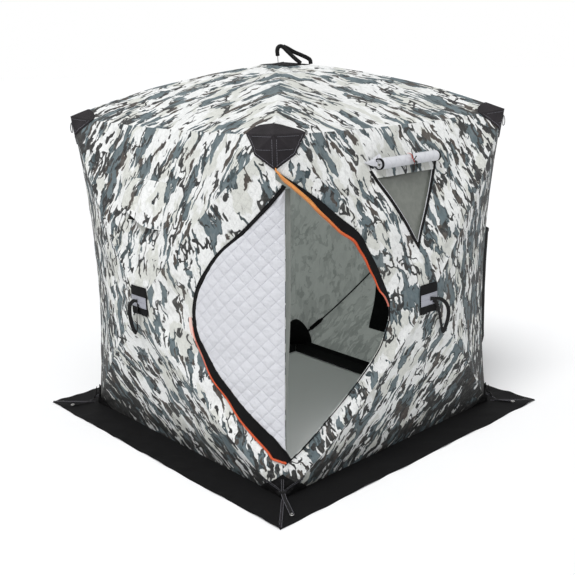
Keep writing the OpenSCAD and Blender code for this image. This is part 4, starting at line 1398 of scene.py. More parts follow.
@dataclass
class Corners(Part):
    """Caps on the upper corners, patches on the lower ones, inner pockets and small loops."""

    cap_along: float = 0.220
    cap_down: float = 0.168
    cap_bend: float = 0.110
    cap_ridge: float = 0.112
    cap_offs: tuple = (0.0048, 0.0024)
    thread_in: float = 0.93
    thread_off: float = 0.0052
    base_along: float = 0.170
    base_up: float = 0.125
    reach: float = 0.130
    low_reach: float = 0.172

    def cap_outline(self, t: Array) -> tuple[Array, Array]:
        """Outline of a cap from the eave to the edge: share of the wall's width and drop below
        the eave, each a quadratic curve of t."""
        first, bend = 1 - self.cap_along / self.form.top_half, 0.925
        mid = 2 * t * (1 - t)
        return (first * (1 - t) ** 2 + bend * mid + t * t,
                self.cap_bend * mid + self.cap_down * t * t)

    def cap(self, side: Side) -> Builder:
        """Cap over the corner at a wall's right edge. Each of its four parts fans from the
        corner to a curved outline, in shares of the edge's width and of the height."""
        form, made = self.form, Builder()
        r, t = spans(16, 22)
        share, drop = self.cap_outline(t)
        for wall, hand in ((side, 1), (side.next, -1)):
            f, d = 1 + (share - 1) * r, drop * r
            z = form.hub_h + form.eave_rise(hand * f * form.top_half) - d
            p = hand * f * form.edge_half(z)
            faces = [form.on_wall(wall, p, z, off) for off in self.cap_offs]
            made.sheet(*faces, grid_coords(p, z))
        ridge = 1 - self.cap_ridge / (math.sqrt(2) * form.top_half)
        for wall, hand in ((side, 1), (side.next, -1)):
            round_it = 1 + 0.22 * np.sin(math.pi * t)
            s = 1 + (ridge - 1) * t * r * round_it
            w = 1 - self.cap_along / form.top_half * (1 - t) * r * round_it
            faces = [wall.turned(form.roof_point(wall, s, hand * w, off)) for off in self.cap_offs]
            made.sheet(*faces, grid_coords(w, s))
        return made

    def cap_stitches(self, side: Side) -> Builder:
        """Thread rows on a cap: round its rim, down its edge, under the eave and across it."""
        form, made = self.form, Builder()
        share, drop = self.cap_outline(np.linspace(0.04, 0.98, 40))
        rim, eave, low = (1 + (share - 1) * self.thread_in, np.linspace(0.82, 0.985, 30),
                          np.linspace(0.90, 0.985, 20))
        rim_z = form.hub_h + form.eave_rise(rim * form.top_half) - drop * self.thread_in
        edge_z = form.eave_h - 0.004 - np.linspace(0.02, self.cap_down - 0.02, 30)
        eave_z = form.hub_h + form.eave_rise(eave * form.top_half) - 0.012
        low_z = form.eave_h - 0.075 + 0 * low
        for wall, hand in ((side, 1), (side.next, -1)):
            for p, z in ((np.minimum(rim, 0.992) * form.edge_half(rim_z), rim_z),
                         (form.edge_half(edge_z) - 0.010, edge_z),
                         (eave * form.top_half, eave_z), (low * form.edge_half(low_z), low_z)):
                made.stitches(form.on_wall(wall, hand * p, z, self.thread_off), wall.out)
        return made

    def foot_patch(self, side: Side) -> Builder:
        """Patch round the lower corner at a wall's right edge: two curved halves that meet at
        the edge, crumpled in small folds."""
        form, made = self.form, Builder()
        r, t = spans(18, 26)
        for wall, hand in ((side, 1), (side.next, -1)):
            width = self.base_along * (1 - 0.35 * np.sin(math.pi * t) * t)
            f = 1 - (width / form.base_half) * (1 - t) * r
            z = 0.0048 + self.base_up * r * (t ** 1.2 + 0.28 * np.sin(math.pi * t) * (1 - t))
            crumple = waves(120 + wall.index + hand, f * 0.9, z, 8, 0.018, 0.06)
            off = 0.0058 + 0.0022 * (crumple + 0.6) * ease((1 - f) / 0.02) * ease(r / 0.2)
            p = hand * f * form.edge_half(z)
            faces = [form.on_wall(wall, p, z, off + thick) for thick in (0.0022, 0.0)]
            made.sheet(*faces, grid_coords(p, z))
        return made

    def pocket(self, side: Side, upper: bool) -> Builder:
        """Pocket across the inside of a corner: a triangle of cloth between a point on the
        upright edge and one on each wall, which sags between them."""
        form, made = self.form, Builder()
        k = 1 - (self.reach if upper else self.low_reach) / form.base_half
        deep = form.cloth_t + 0.0012
        up, low = (Gore.TOP, 1) if upper else (Gore.BOTTOM, -1)
        post = side.turned(form.gore_point(side, Gore.RIGHT, 1.0, low * k, -deep))
        a = side.turned(form.gore_point(side, up, 1.0, k, -deep))
        b = side.next.turned(form.gore_point(side.next, up, 1.0, -k, -deep))
        tip = side.turned(form.gore_point(side, Gore.RIGHT, 1.0, low, -deep))
        lift = np.array([0, 0, 0 if upper else 0.0035])
        a, b, tip = a + lift, b + lift, tip + lift
        r, t = np.linspace(0.02, 1, 20)[:, None, None], np.linspace(0, 1, 24)[None, :, None]
        face = post + r * ((1 - t) * a + t * b - post)
        round_it = (1 - t) * unit((post + a) / 2 - tip) + t * unit((post + b) / 2 - tip)
        face = face + round_it * (0.030 if upper else 0.055) * (4 * r * (1 - r)) ** 0.7
        inwards = unit(a + b + post - 3 * tip)
        x = np.broadcast_to(t[..., 0], face.shape[:2])
        belly = r[..., 0] * (1 - r[..., 0]) * np.sin(math.pi * x)
        fold = waves(140 + side.index, x * 0.2, r[..., 0] + 0 * x, 6, 0.05, 0.2) * 0.0025
        face = face + inwards * (0.016 * belly * 4 + fold * belly * 4)[..., None]
        made.sheet(face, face - inwards * 0.003, laid_out(face))
        return made

    def loop(self, side: Side) -> Builder:
        """Small webbing loop that hangs at the upper end of an upright edge."""
        form = self.form
        z = form.eave_h - np.array([0.030, 0.052, 0.075, 0.092, 0.086, 0.070, 0.052, 0.036])
        out = np.array([0.004, 0.006, 0.008, 0.012, 0.017, 0.017, 0.013, 0.006])
        edge = form.edge_half(z)
        corner = side.turned(np.stack([edge, edge, z], 1))
        away = unit(side.turned(np.array([1.0, 1.0, 0.0])))
        path = smooth_path(corner + away * (out + 0.004)[:, None], 40)
        across = unit(side.turned(np.array([1.0, -1.0, 0.0])))
        return Builder().carried(path, across, np.cross(across, tangents(path)),
                                 strap_section(0.013, 0.002))

    def build(self) -> None:
        """Builds the corners."""
        fin = self.finishes
        for maker, name, node, finish, flat in (
            (self.cap, "cap", "corner_caps", fin.cap, (0.46, 0.46)),
            (self.foot_patch, "foot_patch", "base_patches", fin.black, (0.26, 0.2)),
        ):
            for side in Side:
                maker(side).cloth(f"{name}_{side.value}", "black_cloth", [finish], flat,
                                  "stretched", [f"{side.value}_wall_right_cloth"], [node])
        for side in Side:
            self.cap_stitches(side).piece(f"cap_thread_{side.value}", "black_cloth",
                                          [fin.thread])
            if side is not Side.FRONT:
                self.loop(side).piece(f"corner_loop_{side.value}", "webbing", [fin.webbing])
            for upper, name, size in ((True, "upper", 0.20), (False, "lower", 0.26)):
                self.pocket(side, upper).cloth(
                    f"{name}_pocket_{side.value}", "black_cloth", [fin.black], (size, size),
                    "stretched", [f"{side.value}_wall_right_cloth"], ["corner_pockets"])


@dataclass
class Foot(Part):
    """The hem inside the foot of the walls and the straps on the front lower corner."""

    hem_h: float = 0.022
    hem_in: float = 0.175
    sleeve_r: float = 0.0150
    sleeve_in: float = 0.0165
    eyelets: dict = field(default_factory=lambda: {
        Side.FRONT: (1.073, -0.997), Side.RIGHT: (1.044, 0.989), Side.BACK: (-1.050, 0.992),
        Side.LEFT: (-0.967, -1.064)})

    def hem(self, side: Side) -> None:
        """Black hem inside a wall's foot: it falls from the wall and lies on the ground inside,
        mitred at the corners, in low waves."""
        t, c = spans(22, 90, over=(-1, 1))
        up = ease((0.14 - t) / 0.14)
        q = self.form.half_at(np.array(0.0)) - 0.030 - self.hem_in * t - 0.018 * (1 - c ** 2)
        p = c * (q - 0.0012)
        wave = waves(150 + side.index, p, q, 8, 0.08, 0.35)
        lift = 0.0040 + self.hem_h * up + 0.0035 * (1 + wave) * t * (1 - c ** 6)
        outer = side.turned(np.stack(np.broadcast_arrays(p, q, lift), -1))
        made = Builder().sheet(outer + [0, 0, 0.002], outer, grid_coords(p, q))
        made.cloth(f"hem_{side.value}", "black_cloth", [self.finishes.black], (1.75, 0.21), "laid",
                   [f"{side.value}_wall_bottom_cloth"], ["ground_hem"])

    def sleeves(self, side: Side) -> None:
        """Cloth sleeves round a wall's two lower rods, where they leave the corner pockets."""
        made = Builder()
        s, turn = np.linspace(0.775, 0.875, 24), -np.linspace(0, TAU, 16, endpoint=False)
        inset = self.form.cloth_t + self.sleeve_in
        for hand in (-1, 1):
            core = side.turned(self.form.gore_point(side, Gore.BOTTOM, s, hand + 0 * s, -inset))
            across, up = leant(core, side.out)
            swell = self.sleeve_r * (1 - 0.35 * ease((0.80 - s) / 0.02))[:, None, None]
            ring = (across[:, None] * np.cos(turn)[:, None]
                    - up[:, None] * np.sin(turn)[:, None])
            faces = [core[:, None] + ring * (swell - thick) for thick in (0.0, 0.0016)]
            made.sheet(*faces, grid_coords(s[:, None], self.sleeve_r * turn), True)
        made.cloth(f"rod_sleeve_{side.value}", "black_cloth", [self.finishes.black], (0.095, 0.30),
                   "stretched", [f"{side.value}_rods"])

    def anchor(self, side: Side) -> None:
        """Webbing on a lower corner: three short straps that meet under a sewn bar, and the
        tail from it to its own eyelet, with pale thread along their edges."""
        form, made, thread = self.form, Builder(), Builder()
        near = unit(side.turned(np.array([1.0, 1.0, 0.0])))
        over = unit(side.turned(np.array([-1.0, 1.0, 0.0])))
        corner = side.turned(np.array([form.base_half, form.base_half, 0.0]))
        eyelet = np.array(self.eyelets[side] + (0.0,))
        knot = corner + near * 0.024 + [0, 0, 0.044]

        def beside(wall: Side, hand: int, away: float, z: float) -> Array:
            """Point beside the corner on a wall, off the patch."""
            p = hand * (form.edge_half(np.array(z)) - away)
            return form.on_wall(wall, p, np.array(z), 0.0135)

        strands = (
            ([corner + near * 0.013 + [0, 0, 0.112], corner + near * 0.018 + [0, 0, 0.075], knot],
             near, 0.016),
            *(([beside(wall, hand, 0.094, 0.098), beside(wall, hand, 0.044, 0.070), knot],
               wall.out, 0.014) for wall, hand in ((side, 1), (side.next, -1))),
            ([knot, corner * 0.74 + eyelet * 0.26 + near * 0.012 + [0, 0, 0.022],
              corner * 0.5 + eyelet * 0.5 + [0, 0, 0.0140],
              eyelet * 1.05 - corner * 0.05 + [0, 0, 0.0110]], unit(near + [0, 0, 0.8]), 0.024))
        for points, out, wide in strands:
            path = smooth_path(points, 40)
            across, up = leant(path, out)
            made.carried(path, across, up, strap_section(wide, 0.0022))
            for hand in (-1, 1):
                thread.stitches(path + across * hand * (wide / 2 - 0.0025) + up * 0.0014, up,
                                0.006, 0.008)
        bar = knot + near * 0.004 + over * np.linspace(-0.020, 0.020, 12)[:, None]
        made.carried(bar, UP, near, strap_section(0.020, 0.005))
        for rise in (-0.006, 0.006):
            thread.stitches(bar + near * 0.003 + UP * rise, near, 0.006, 0.008)
        made.piece(f"anchor_strap_{side.value}", "webbing", [self.finishes.webbing])
        thread.piece(f"anchor_thread_{side.value}", "black_cloth", [self.finishes.thread])
        ring = Builder().lathe(rim_section(0.0090, 0.0040), eyelet + [0, 0, 0.0140], (0, 0, 1), 36)
        ring.piece(f"anchor_eyelet_{side.value}", "eyelet", [self.finishes.metal])

    def build(self) -> None:
        """Builds the foot's trim."""
        for side in Side:
            self.hem(side)
            self.sleeves(side)
            self.anchor(side)


@dataclass
class Door(Part):
    """The zipped door across the front corner, open, its right half folded back."""

    door: DoorForm
    fold: tuple = (0.903, -0.847)
    flap_t: float = 0.009
    swell: float = 0.08
    quilt: float = 0.055
    puff: float = 0.0036
    fold_low: float = 0.243
    flap_lift: float = 0.0029
    fold_top: float = 1.6085
    wire_pitch: float = 0.005
    wire_r: float = 0.0014
    tape_widths: tuple = ((0.19, 0.005), (0.95, 0.008), (1.05, 0.036), (1.25, 0.038),
                          (1.41, 0.050), (1.53, 0.040), (1.63, 0.016), (1.70, 0.005))

    def fold_line(self, z: Array) -> Array:
        """The flap's fold: straight up, leaning a little outwards at its foot, and never past
        the door's right edge."""
        edge = self.form.edge_half(z)
        corner = np.stack([edge, -edge], -1)
        back = ease((1.6 - z) / 1.5)[..., None] * np.array([-0.017, -0.017])
        run = np.asarray(self.fold) + back - corner
        wide = 0.98 * self.door.right_gap(z) / np.linalg.norm(run, axis=-1)
        return np.concatenate([corner + run * np.minimum(1, wide)[..., None], z[..., None]], -1)

    def sheet_points(self, path: Array, t: Array, reach: float, lift: float,
                     off: Array) -> Array:
        """The door's sheet from the fold to its outer edge, which swells outwards by a power
        of a half sine wave, and stands off it by off."""
        begin = self.fold_line(path[:, 1])[:, None]
        end = self.door.left_edge(path, np.full((len(path), 1), reach), lift)
        run = end - begin
        wide = np.hypot(run[..., 0], run[..., 1])[..., None]
        out = np.concatenate([-run[..., 1:2], run[..., :1], 0 * wide], -1) / wide
        arch = wide[..., 0] * self.swell * np.sin(math.pi * t)[None] ** 0.8
        return begin + run * t[None, :, None] + out * (arch + off)[..., None]

    def rows(self, count: int) -> Array:
        """Points of the left edge that the flap's rows end on, over the fold's foot."""
        path = self.door.left_path(count)
        return path[(path[:, 1] > self.fold_low) & (path[:, 1] < self.fold_top)]

    def flap(self) -> None:
        """The folded half: quilted in sewn diamonds, with a few soft folds, lining outwards."""
        path, t = self.rows(250), np.linspace(0, 1, 84)
        flat = self.sheet_points(path, t, 0.006, self.flap_lift, np.zeros((len(path), len(t))))
        wide = np.linalg.norm(flat[:, -1] - flat[:, 0], axis=1)[:, None]
        u, v = t[None] * wide, path[:, 1:] + 0 * t[None]
        a, b = (u + v) * math.sqrt(0.5), (u - v) * math.sqrt(0.5)
        pillow = np.abs(np.sin(math.pi * a / self.quilt) * np.sin(math.pi * b / self.quilt))
        rim = ease(u / 0.03) * ease((wide - u) / 0.02)
        soft = waves(170, u * 0.6, v * 0.35, 8, 0.10, 0.30) * 0.0035
        soft = soft + waves(172, u, v, 14, 0.022, 0.07) * 0.0007
        puff = (self.puff * pillow ** 0.55 + soft + 0.003) * rim
        low = 0.0009 + np.zeros_like(puff)
        top = low + self.flap_t * 0.45 + puff
        faces = [self.sheet_points(path, t, 0.006, self.flap_lift, off) for off in (top, low)]
        made = Builder().sheet(*faces, grid_coords(u, v), slots=(0, 1, 0))
        made.cloth("door_flap_quilted", "quilted_lining",
                   [self.finishes.lining, self.finishes.camo], (0.62, 1.38), "folded",
                   ["door_left_half_cloth"], ["door_flap"])

    def left_half(self) -> None:
        """The half still zipped to the front wall, under the flap."""
        path, t = self.rows(160), np.linspace(0, 1, 40)
        slack = waves(171, t[None] * 0.5, path[:, 1:], 7, 0.15, 0.4) * 0.002
        slack = np.minimum(slack * np.sin(math.pi * t)[None], 0)
        faces = [self.sheet_points(path, t, 0.004, -0.001, slack - off) for off in (0.0, 0.005)]
        u = t[None] * np.linalg.norm(faces[0][:, -1] - faces[0][:, 0], axis=1)[:, None]
        made = Builder().sheet(*faces, grid_coords(u, path[:, 1:] + 0 * u), slots=(0, 1, 0))
        made.cloth("door_left_half_cloth", "camo_cloth", [self.finishes.camo, self.finishes.inner],
                   (0.62, 1.38), "hung", ["front_wall_right_cloth"], ["door_left_half"])

    def fold_edge(self) -> None:
        """The rolled fold of the flap: a narrow strip that turns inwards behind the fold, with
        fine pleats along it."""
        z = np.linspace(self.fold_low + 0.01, 1.606, 120)
        line = self.fold_line(z)
        right = np.array([0.676, 0.737, 0.0])
        back = np.array([-0.737, 0.676, 0.0])
        run = np.linspace(0, 1, 24)
        narrow = 0.25 + 0.75 * ease((z - 0.30) / 0.8)
        side = (0.032 * run - 0.004)[None, :, None] * narrow[:, None, None]
        dent = 0.0016 * np.cos(run * 26.0) * np.sin(math.pi * run) + 0.030 * run + 0.006
        face = line[:, None] + right * side + back * (dent[None, :, None] * narrow[:, None, None])
        made = Builder().sheet(face, face + back * 0.003, laid_out(face))
        # Its grey finish is painted shade behind the fold.
        made.cloth("door_fold_strip", "camo_cloth", [self.finishes.fold], (0.05, 1.36), "folded",
                   ["door_left_half_cloth"])

    def coil_of(self, made: Builder, core: Array, normal: Array, radius: Array) -> None:
        """Zip coil: a wire carried round a core line in a helix, over a thin round core.

        Args:
            made: builder that gets the coil.
            core: points of the coil's middle line.
            normal: unit vectors off the cloth.
            radius: the coil's radius at each point.
        """
        aside, up = leant(core, normal)
        made.carried(core, aside, up, round_section(0.72, 8)[None] * radius[:, None, None])
        length = lengths(core)
        fine = np.linspace(0, length[-1], int(length[-1] / self.wire_pitch) * 9)
        turn = (fine / self.wire_pitch * TAU)[:, None]
        mid, a, b = (sampled(fine, length, values) for values in (core, aside, up))
        a, b = unit(a), unit(b)
        round_it = np.interp(fine, length, radius)[:, None]
        helix = mid + round_it * (a * np.cos(turn) * 1.15 + b * np.sin(turn) * 0.8)
        across, inwards = leant(helix, a + 0.01)
        made.carried(helix, across, -inwards, round_section(self.wire_r, 5))

    def right_zip(self) -> None:
        """Zip round the open half: black tape along the right edge, wide over the upper half
        and turned under below, and the orange coil on its opening side."""
        mid = self.door.mid
        z = np.linspace(0.196, 1.690, 300)
        wide = np.interp(z, *np.array(self.tape_widths).T)
        wide = wide * (1 + 0.08 * np.sin(z * 39) * np.sin(z * 17))
        share = np.linspace(0, 1, 11)[None]
        reach = 0.0045 - (wide[:, None] + 0.003) * share
        ruffle = 0.0014 * np.sin(z * 61)[:, None] * share
        off = 0.0034 + ruffle + 0.004 * share ** 2
        faces = [self.door.right_edge(z[:, None], reach, off + thick) for thick in (0.0016, 0.0)]
        made = Builder().sheet(*faces, laid_out(faces[0]))
        tape = made.piece("zip_tape_right", "zip_tape", [self.finishes.tape], ["door_zip"])
        fine = np.linspace(mid + 0.02, 1.708, 300)
        past = -np.interp(fine, z, wide) - 0.001
        past = past + (0.004 - past) * ease((fine - 1.66) / 0.04)
        core = self.door.right_edge(fine, past, 0.0105)
        normal = unit(np.array([1.0, -0.5, 0.0]))
        coil = Builder()
        thick = 0.0034 + 0.0026 * ease((fine - 1.05) / 0.3) + 0.0022 * ease((fine - 1.42) / 0.16)
        self.coil_of(coil, core, normal, thick * (0.35 + 0.65 * ease((1.708 - fine) / 0.06)))
        band = coil.piece("zip_coil_right", "zip_tape", [self.finishes.coil], sharp=70)

    def left_zip(self) -> None:
        """Binding of the flap's free edge and the tape beside it on the front wall: one strip
        that steps down from the flap to the wall, wider over the lower half."""
        path = self.door.left_path(300)
        z = path[:, 1]
        wide = 0.016 + 0.006 * ease((1.40 - z) / 0.35) + 0.024 * ease((0.92 - z) / 0.25)
        wide = (wide + 0.028 * ease((0.68 - z) / 0.32)) * (0.3 + 0.7 * ease((z - 0.19) / 0.06))
        steps = np.array([-0.0045, -0.001, 0.003, 0.0075])
        past = np.linspace(0.0105, 1, 6)
        reach = np.concatenate([np.broadcast_to(steps, (len(z), 4)),
                                np.maximum(past[None] * wide[:, None], 0.0095)], 1)
        high = self.flap_lift + self.flap_t * 0.45 + 0.0032
        off = np.array([high, high + 0.0010, high, 0.0064, 0.0052, 0.0046, 0.0044, 0.0044,
                        0.0044, 0.0040])
        ends = ease((z - 0.24) / 0.03) * ease((1.60 - z) / 0.03)
        off = 0.0034 + (off - 0.0034)[None] * (0.35 + 0.65 * ends[:, None])
        ruffle = 0.0010 * np.sin(z * 47 + np.sin(z * 21))[:, None] * np.linspace(0, 1, 10)[None]
        faces = [self.door.left_edge(path, reach, off + ruffle + thick)
                 for thick in (0.0014, 0.0)]
        made = Builder().sheet(*faces, laid_out(faces[0]))
        tape = made.piece("zip_tape_left", "zip_tape", [self.finishes.tape])
        low = (z > 0.196) & (z < 0.872)
        wander = 0.0025 * np.sin(z * 31) * np.sin(z * 13 + 1)
        core = self.door.left_edge(path, (wide + 0.003 + wander)[:, None], 0.0052)[low, 0]
        coil = Builder()
        self.coil_of(coil, core, Side.FRONT.out, 0.0040 + 0.0026 * ease((0.62 - z[low]) / 0.25))
        band = coil.piece("zip_coil_left", "zip_tape", [self.finishes.coil], sharp=70)
        self.tab(path, wide)

    def tab(self, path: Array, wide: Array) -> None:
        """The bare tape end over the coil beside the flap, a small pale tab that curls."""
        at = (path[:, 1] > 0.800) & (path[:, 1] < 0.915)
        share = np.linspace(0, 1, 7)[None]
        narrow = (0.35 + 0.65 * ease((path[at, 1] - 0.80) / 0.06))[:, None]
        reach = wide[at, None] + 0.001 + 0.017 * share * narrow
        off = 0.0062 + 0.004 * ease((path[at, 1] - 0.85) / 0.05)[:, None] + 0.003 * share
        faces = [self.door.left_edge(path[at], reach, off + thick) for thick in (0.0014, 0.0)]
        made = Builder().sheet(*faces, laid_out(faces[0]))
        made.cloth("zip_end_tab", "zip_tape", [self.finishes.tab], (0.022, 0.13), "hung",
                   ["zip_tape_left"])

    def build(self) -> None:
        """Builds the door."""
        self.flap()
        self.left_half()
        self.fold_edge()
        self.right_zip()
        self.left_zip()


@dataclass
class Windows(Part):
    """Films, borders, rolled covers and their ties on the right wall and the left wall."""

    cabin: Cabin
    border: float = 0.016
    roll_r: float = 0.033
    roll_core: float = 0.0095
    roll_step: float = 0.0062
    turns: float = 3.45
    past: float = 0.020
    short: tuple = (0.034, 0.014)

    def outline(self, grow: float) -> Array:
        """Corners of the window, grown on all sides."""
        (a, top), (b, _), (c, low) = self.cabin.window
        return np.array([[a - 1.9 * grow, top + grow], [b + 1.9 * grow, top + grow],
                         [c, low - 2 * grow]])

    def film(self, side: Side) -> None:
        """Clear film behind the window: a triangle with a slight belly."""
        corners = self.outline(0.015)
        t, c = spans(24, 24, (0.02, 1))
        p = corners[2, 0] + t * ((1 - c) * corners[0, 0] + c * corners[1, 0] - corners[2, 0])
        z = corners[2, 1] + t * (corners[0, 1] - corners[2, 1]) + 0 * c
        off = -0.0095 - 0.003 * np.sin(math.pi * c) * np.sin(math.pi * t)
        made = self.laid(side, p, z, off, off - 0.0012)
        made.cloth(f"window_film_{side.value}", "window_film", [self.finishes.film], (0.54, 0.44),
                   "stretched", [f"{side.value}_wall_top_cloth"], ["window_films"])

    def binding(self, side: Side) -> None:
        """Black border: a strip round the window between its outline and a grown one, with
        its three corners kept."""
        share = np.linspace(0, 1, 40, endpoint=False)[:, None]

        def ring(grow: float) -> Array:
            """Points round the grown outline."""
            c = self.outline(grow)
            return np.concatenate([a + (b - a) * share for a, b in zip(c, np.roll(c, -1, 0))])

        band = np.stack([ring(g) for g in np.linspace(-0.0015, self.border, 6)])
        made = self.laid(side, band[..., 0], band[..., 1], 0.0032, 0.0010, True)
        border = made.piece(f"window_border_{side.value}", "black_cloth", [self.finishes.black],
                            ["window_borders"])
        band = np.stack([ring(g) for g in (-0.0050, -0.0030, -0.0012)])
        strip = self.laid(side, band[..., 0], band[..., 1], 0.0022, 0.0008, True)
        facing = strip.piece(f"window_facing_{side.value}", "quilted_lining",
                             [self.finishes.lining])

    def cover(self, side: Side) -> None:
        """Rolled cover: a sheet wound in a spiral, whose radius grows evenly with the turn, the
        lining outwards, and its camouflaged tail across the top of the window."""
        (a, top), (b, _), _ = self.cabin.window
        end, half = a - self.past, (b - a) / 2 + self.past
        z0 = top + self.border + self.roll_r + 0.0003
        low, high = (float(self.form.wall_point(side, np.array(end), np.array(z0 + d))[1])
                     for d in (-self.roll_r, self.roll_r))
        lean = (low - high) / (2 * self.roll_r)
        q0 = (low + high) / 2 + (self.roll_r + 0.0012) * math.hypot(1, lean)
        turn = np.linspace(0.0, self.turns * TAU, 200)[None]
        begin, stop = self.short[0], 2 * half - self.short[1]
        x = np.linspace(begin, stop, 46)[:, None]
        wave = 0.0006 * waves(180 + side.index, x + 0 * turn, turn * 0.02, 7, 0.05, 0.2)
        spiral = self.roll_core + self.roll_step * turn / TAU
        radius = spiral + wave + 0.0012 * (x / half - 1) ** 2

        def wound(r: Array, x: Array) -> Array:
            """Points at a radius round the roll's axis, along a wall."""
            angle = turn + 0.6
            grid = np.broadcast_arrays(end + x, q0 + r * np.cos(angle), z0 + r * np.sin(angle))
            return side.turned(np.stack(grid, -1))

        faces = [wound(radius + extra, x) for extra in (0.0, -0.0036)]
        made = Builder().sheet(*faces, grid_coords(turn * 0.02, x), slots=(0, 1, 0))
        made.cloth(f"window_roll_{side.value}", "quilted_lining",
                   [self.finishes.lining, self.finishes.camo], (0.53, 0.48), "folded",
                   [f"{side.value}_wall_top_cloth"], ["window_cover_rolls"])
        edge = Builder()
        for first, last_x in ((begin - 0.001, begin + 0.011), (stop - 0.011, stop + 0.001)):
            x = np.linspace(first, last_x, 4)[:, None]
            r = spiral + 0.0012 + 0 * x
            last = slice(130, None)
            edge.sheet(wound(r + 0.0008, x)[:, last], wound(r - 0.0050, x)[:, last],
                       grid_coords(turn * 0.02, x)[:, last])
        edge.cloth(f"roll_binding_{side.value}", "black_cloth", [self.finishes.black],
                   (0.013, 0.60), "folded", [f"window_roll_{side.value}"])
        self.tail(side)
        self.corner(side)
        self.tie(side, end + half, q0, z0)

    def tail(self, side: Side) -> None:
        """The cover's last hand's breadth, which hangs over the top of the opening."""
        (a, top), (b, _), _ = self.cabin.window
        z = np.linspace(top - 0.026, top + 0.030, 9)[:, None]
        inset = np.clip((top - z) / 0.385 * 0.24, -0.03, None)
        p = (a + inset) + (b - a - 2 * inset) * np.linspace(0, 1, 60)[None]
        off = 0.0046 + 0.0016 * waves(190 + side.index, p, z, 6, 0.05, 0.2)
        made = self.laid(side, p, z, off + 0.0018, off, shift=(31.3, 5.0))
        made.cloth(f"window_tail_{side.value}", "camo_cloth", [self.finishes.camo], (0.52, 0.06),
                   "hung", [f"{side.value}_wall_top_cloth"])

    def corner(self, side: Side) -> None:
        """The cover's loose corner beside the roll, lining outwards, that curls off the wall."""
        (a, top), _, _ = self.cabin.window
        t, c = spans(26, 20, (0.02, 1))
        p = a - 0.062 + 0.112 * t + 0.006 * np.sin(math.pi * c) * t
        z = top + 0.060 + t * (0.018 * c - 0.044 * (1 - c)) - 0.004 * np.sin(math.pi * t)
        off = 0.005 + 0.020 * t ** 2 + 0.006 * np.sin(math.pi * c) * t
        made = self.laid(side, p, z, off + 0.0030, off, slots=(0, 1, 0))
        made.cloth(f"window_corner_{side.value}", "quilted_lining",
                   [self.finishes.lining, self.finishes.camo], (0.12, 0.065), "folded",
                   [f"{side.value}_wall_top_cloth"])

    def tie(self, side: Side, p: float, q: float, z: float) -> None:
        """Tie round the middle of the roll, with a toggle and two short tails."""
        turn = np.linspace(0.3, 1.75, 40)
        r = self.roll_r + 0.0022
        ring = np.stack([p - 0.012 + 0.020 * np.sin(turn * 1.3), q + r * np.cos(turn),
                         z + r * np.sin(turn)], 1)
        path = side.turned(ring)
        axis = side.turned(np.array([1.0, 0, 0]))
        up = unit(path - side.turned(np.array([p, q, z])))
        made = Builder().carried(path, axis, up, strap_section(0.007, 0.0014))
        front = np.array([p, q + r + 0.003, z + 0.004])
        cords = Builder()
        for way, rise, end, target in ((-0.020, 0.060, 0.004, cords), (0.020, 0.020, 0.006, cords),
                                       (0.040, -0.052, -0.004, cords),
                                       (0.010, -0.046, -0.002, cords),
                                       (-0.012, 0.018, 0.004, made),
                                       (0.008, -0.026, 0.004, made)):
            tail = [front, front + [way * 0.4, 0.004, rise * 0.3],
                    front + [way * 0.8, 0.003, rise * 0.7], front + [way, end, rise]]
            line = side.turned(smooth_path(tail, 20))
            across, up = leant(line, side.turned(np.array([0.2, 1.0, 0.2])))
            target.carried(line, across, up, strap_section(0.007, 0.0020))
        made.piece(f"roll_tie_{side.value}", "webbing", [self.finishes.tie])
        cords.piece(f"tie_cords_{side.value}", "webbing", [self.finishes.olive])
        turn = np.linspace(-math.pi / 2, math.pi / 2, 12)
        bead = np.stack([0.0003 + 0.0052 * np.cos(turn), 0.011 * np.sin(turn)], 1)
        knob = Builder().lathe(bead, side.turned(front + [0.016, 0.007, -0.010]),
                               side.turned(np.array([0.8, 0.1, -0.6])), 20)
        knob.piece(f"roll_toggle_{side.value}", "moulding", [self.finishes.moulding])

    def build(self) -> None:
        """Builds both windows."""
        for side in (Side.RIGHT, Side.LEFT):
            self.film(side)
            self.binding(side)
            self.cover(side)


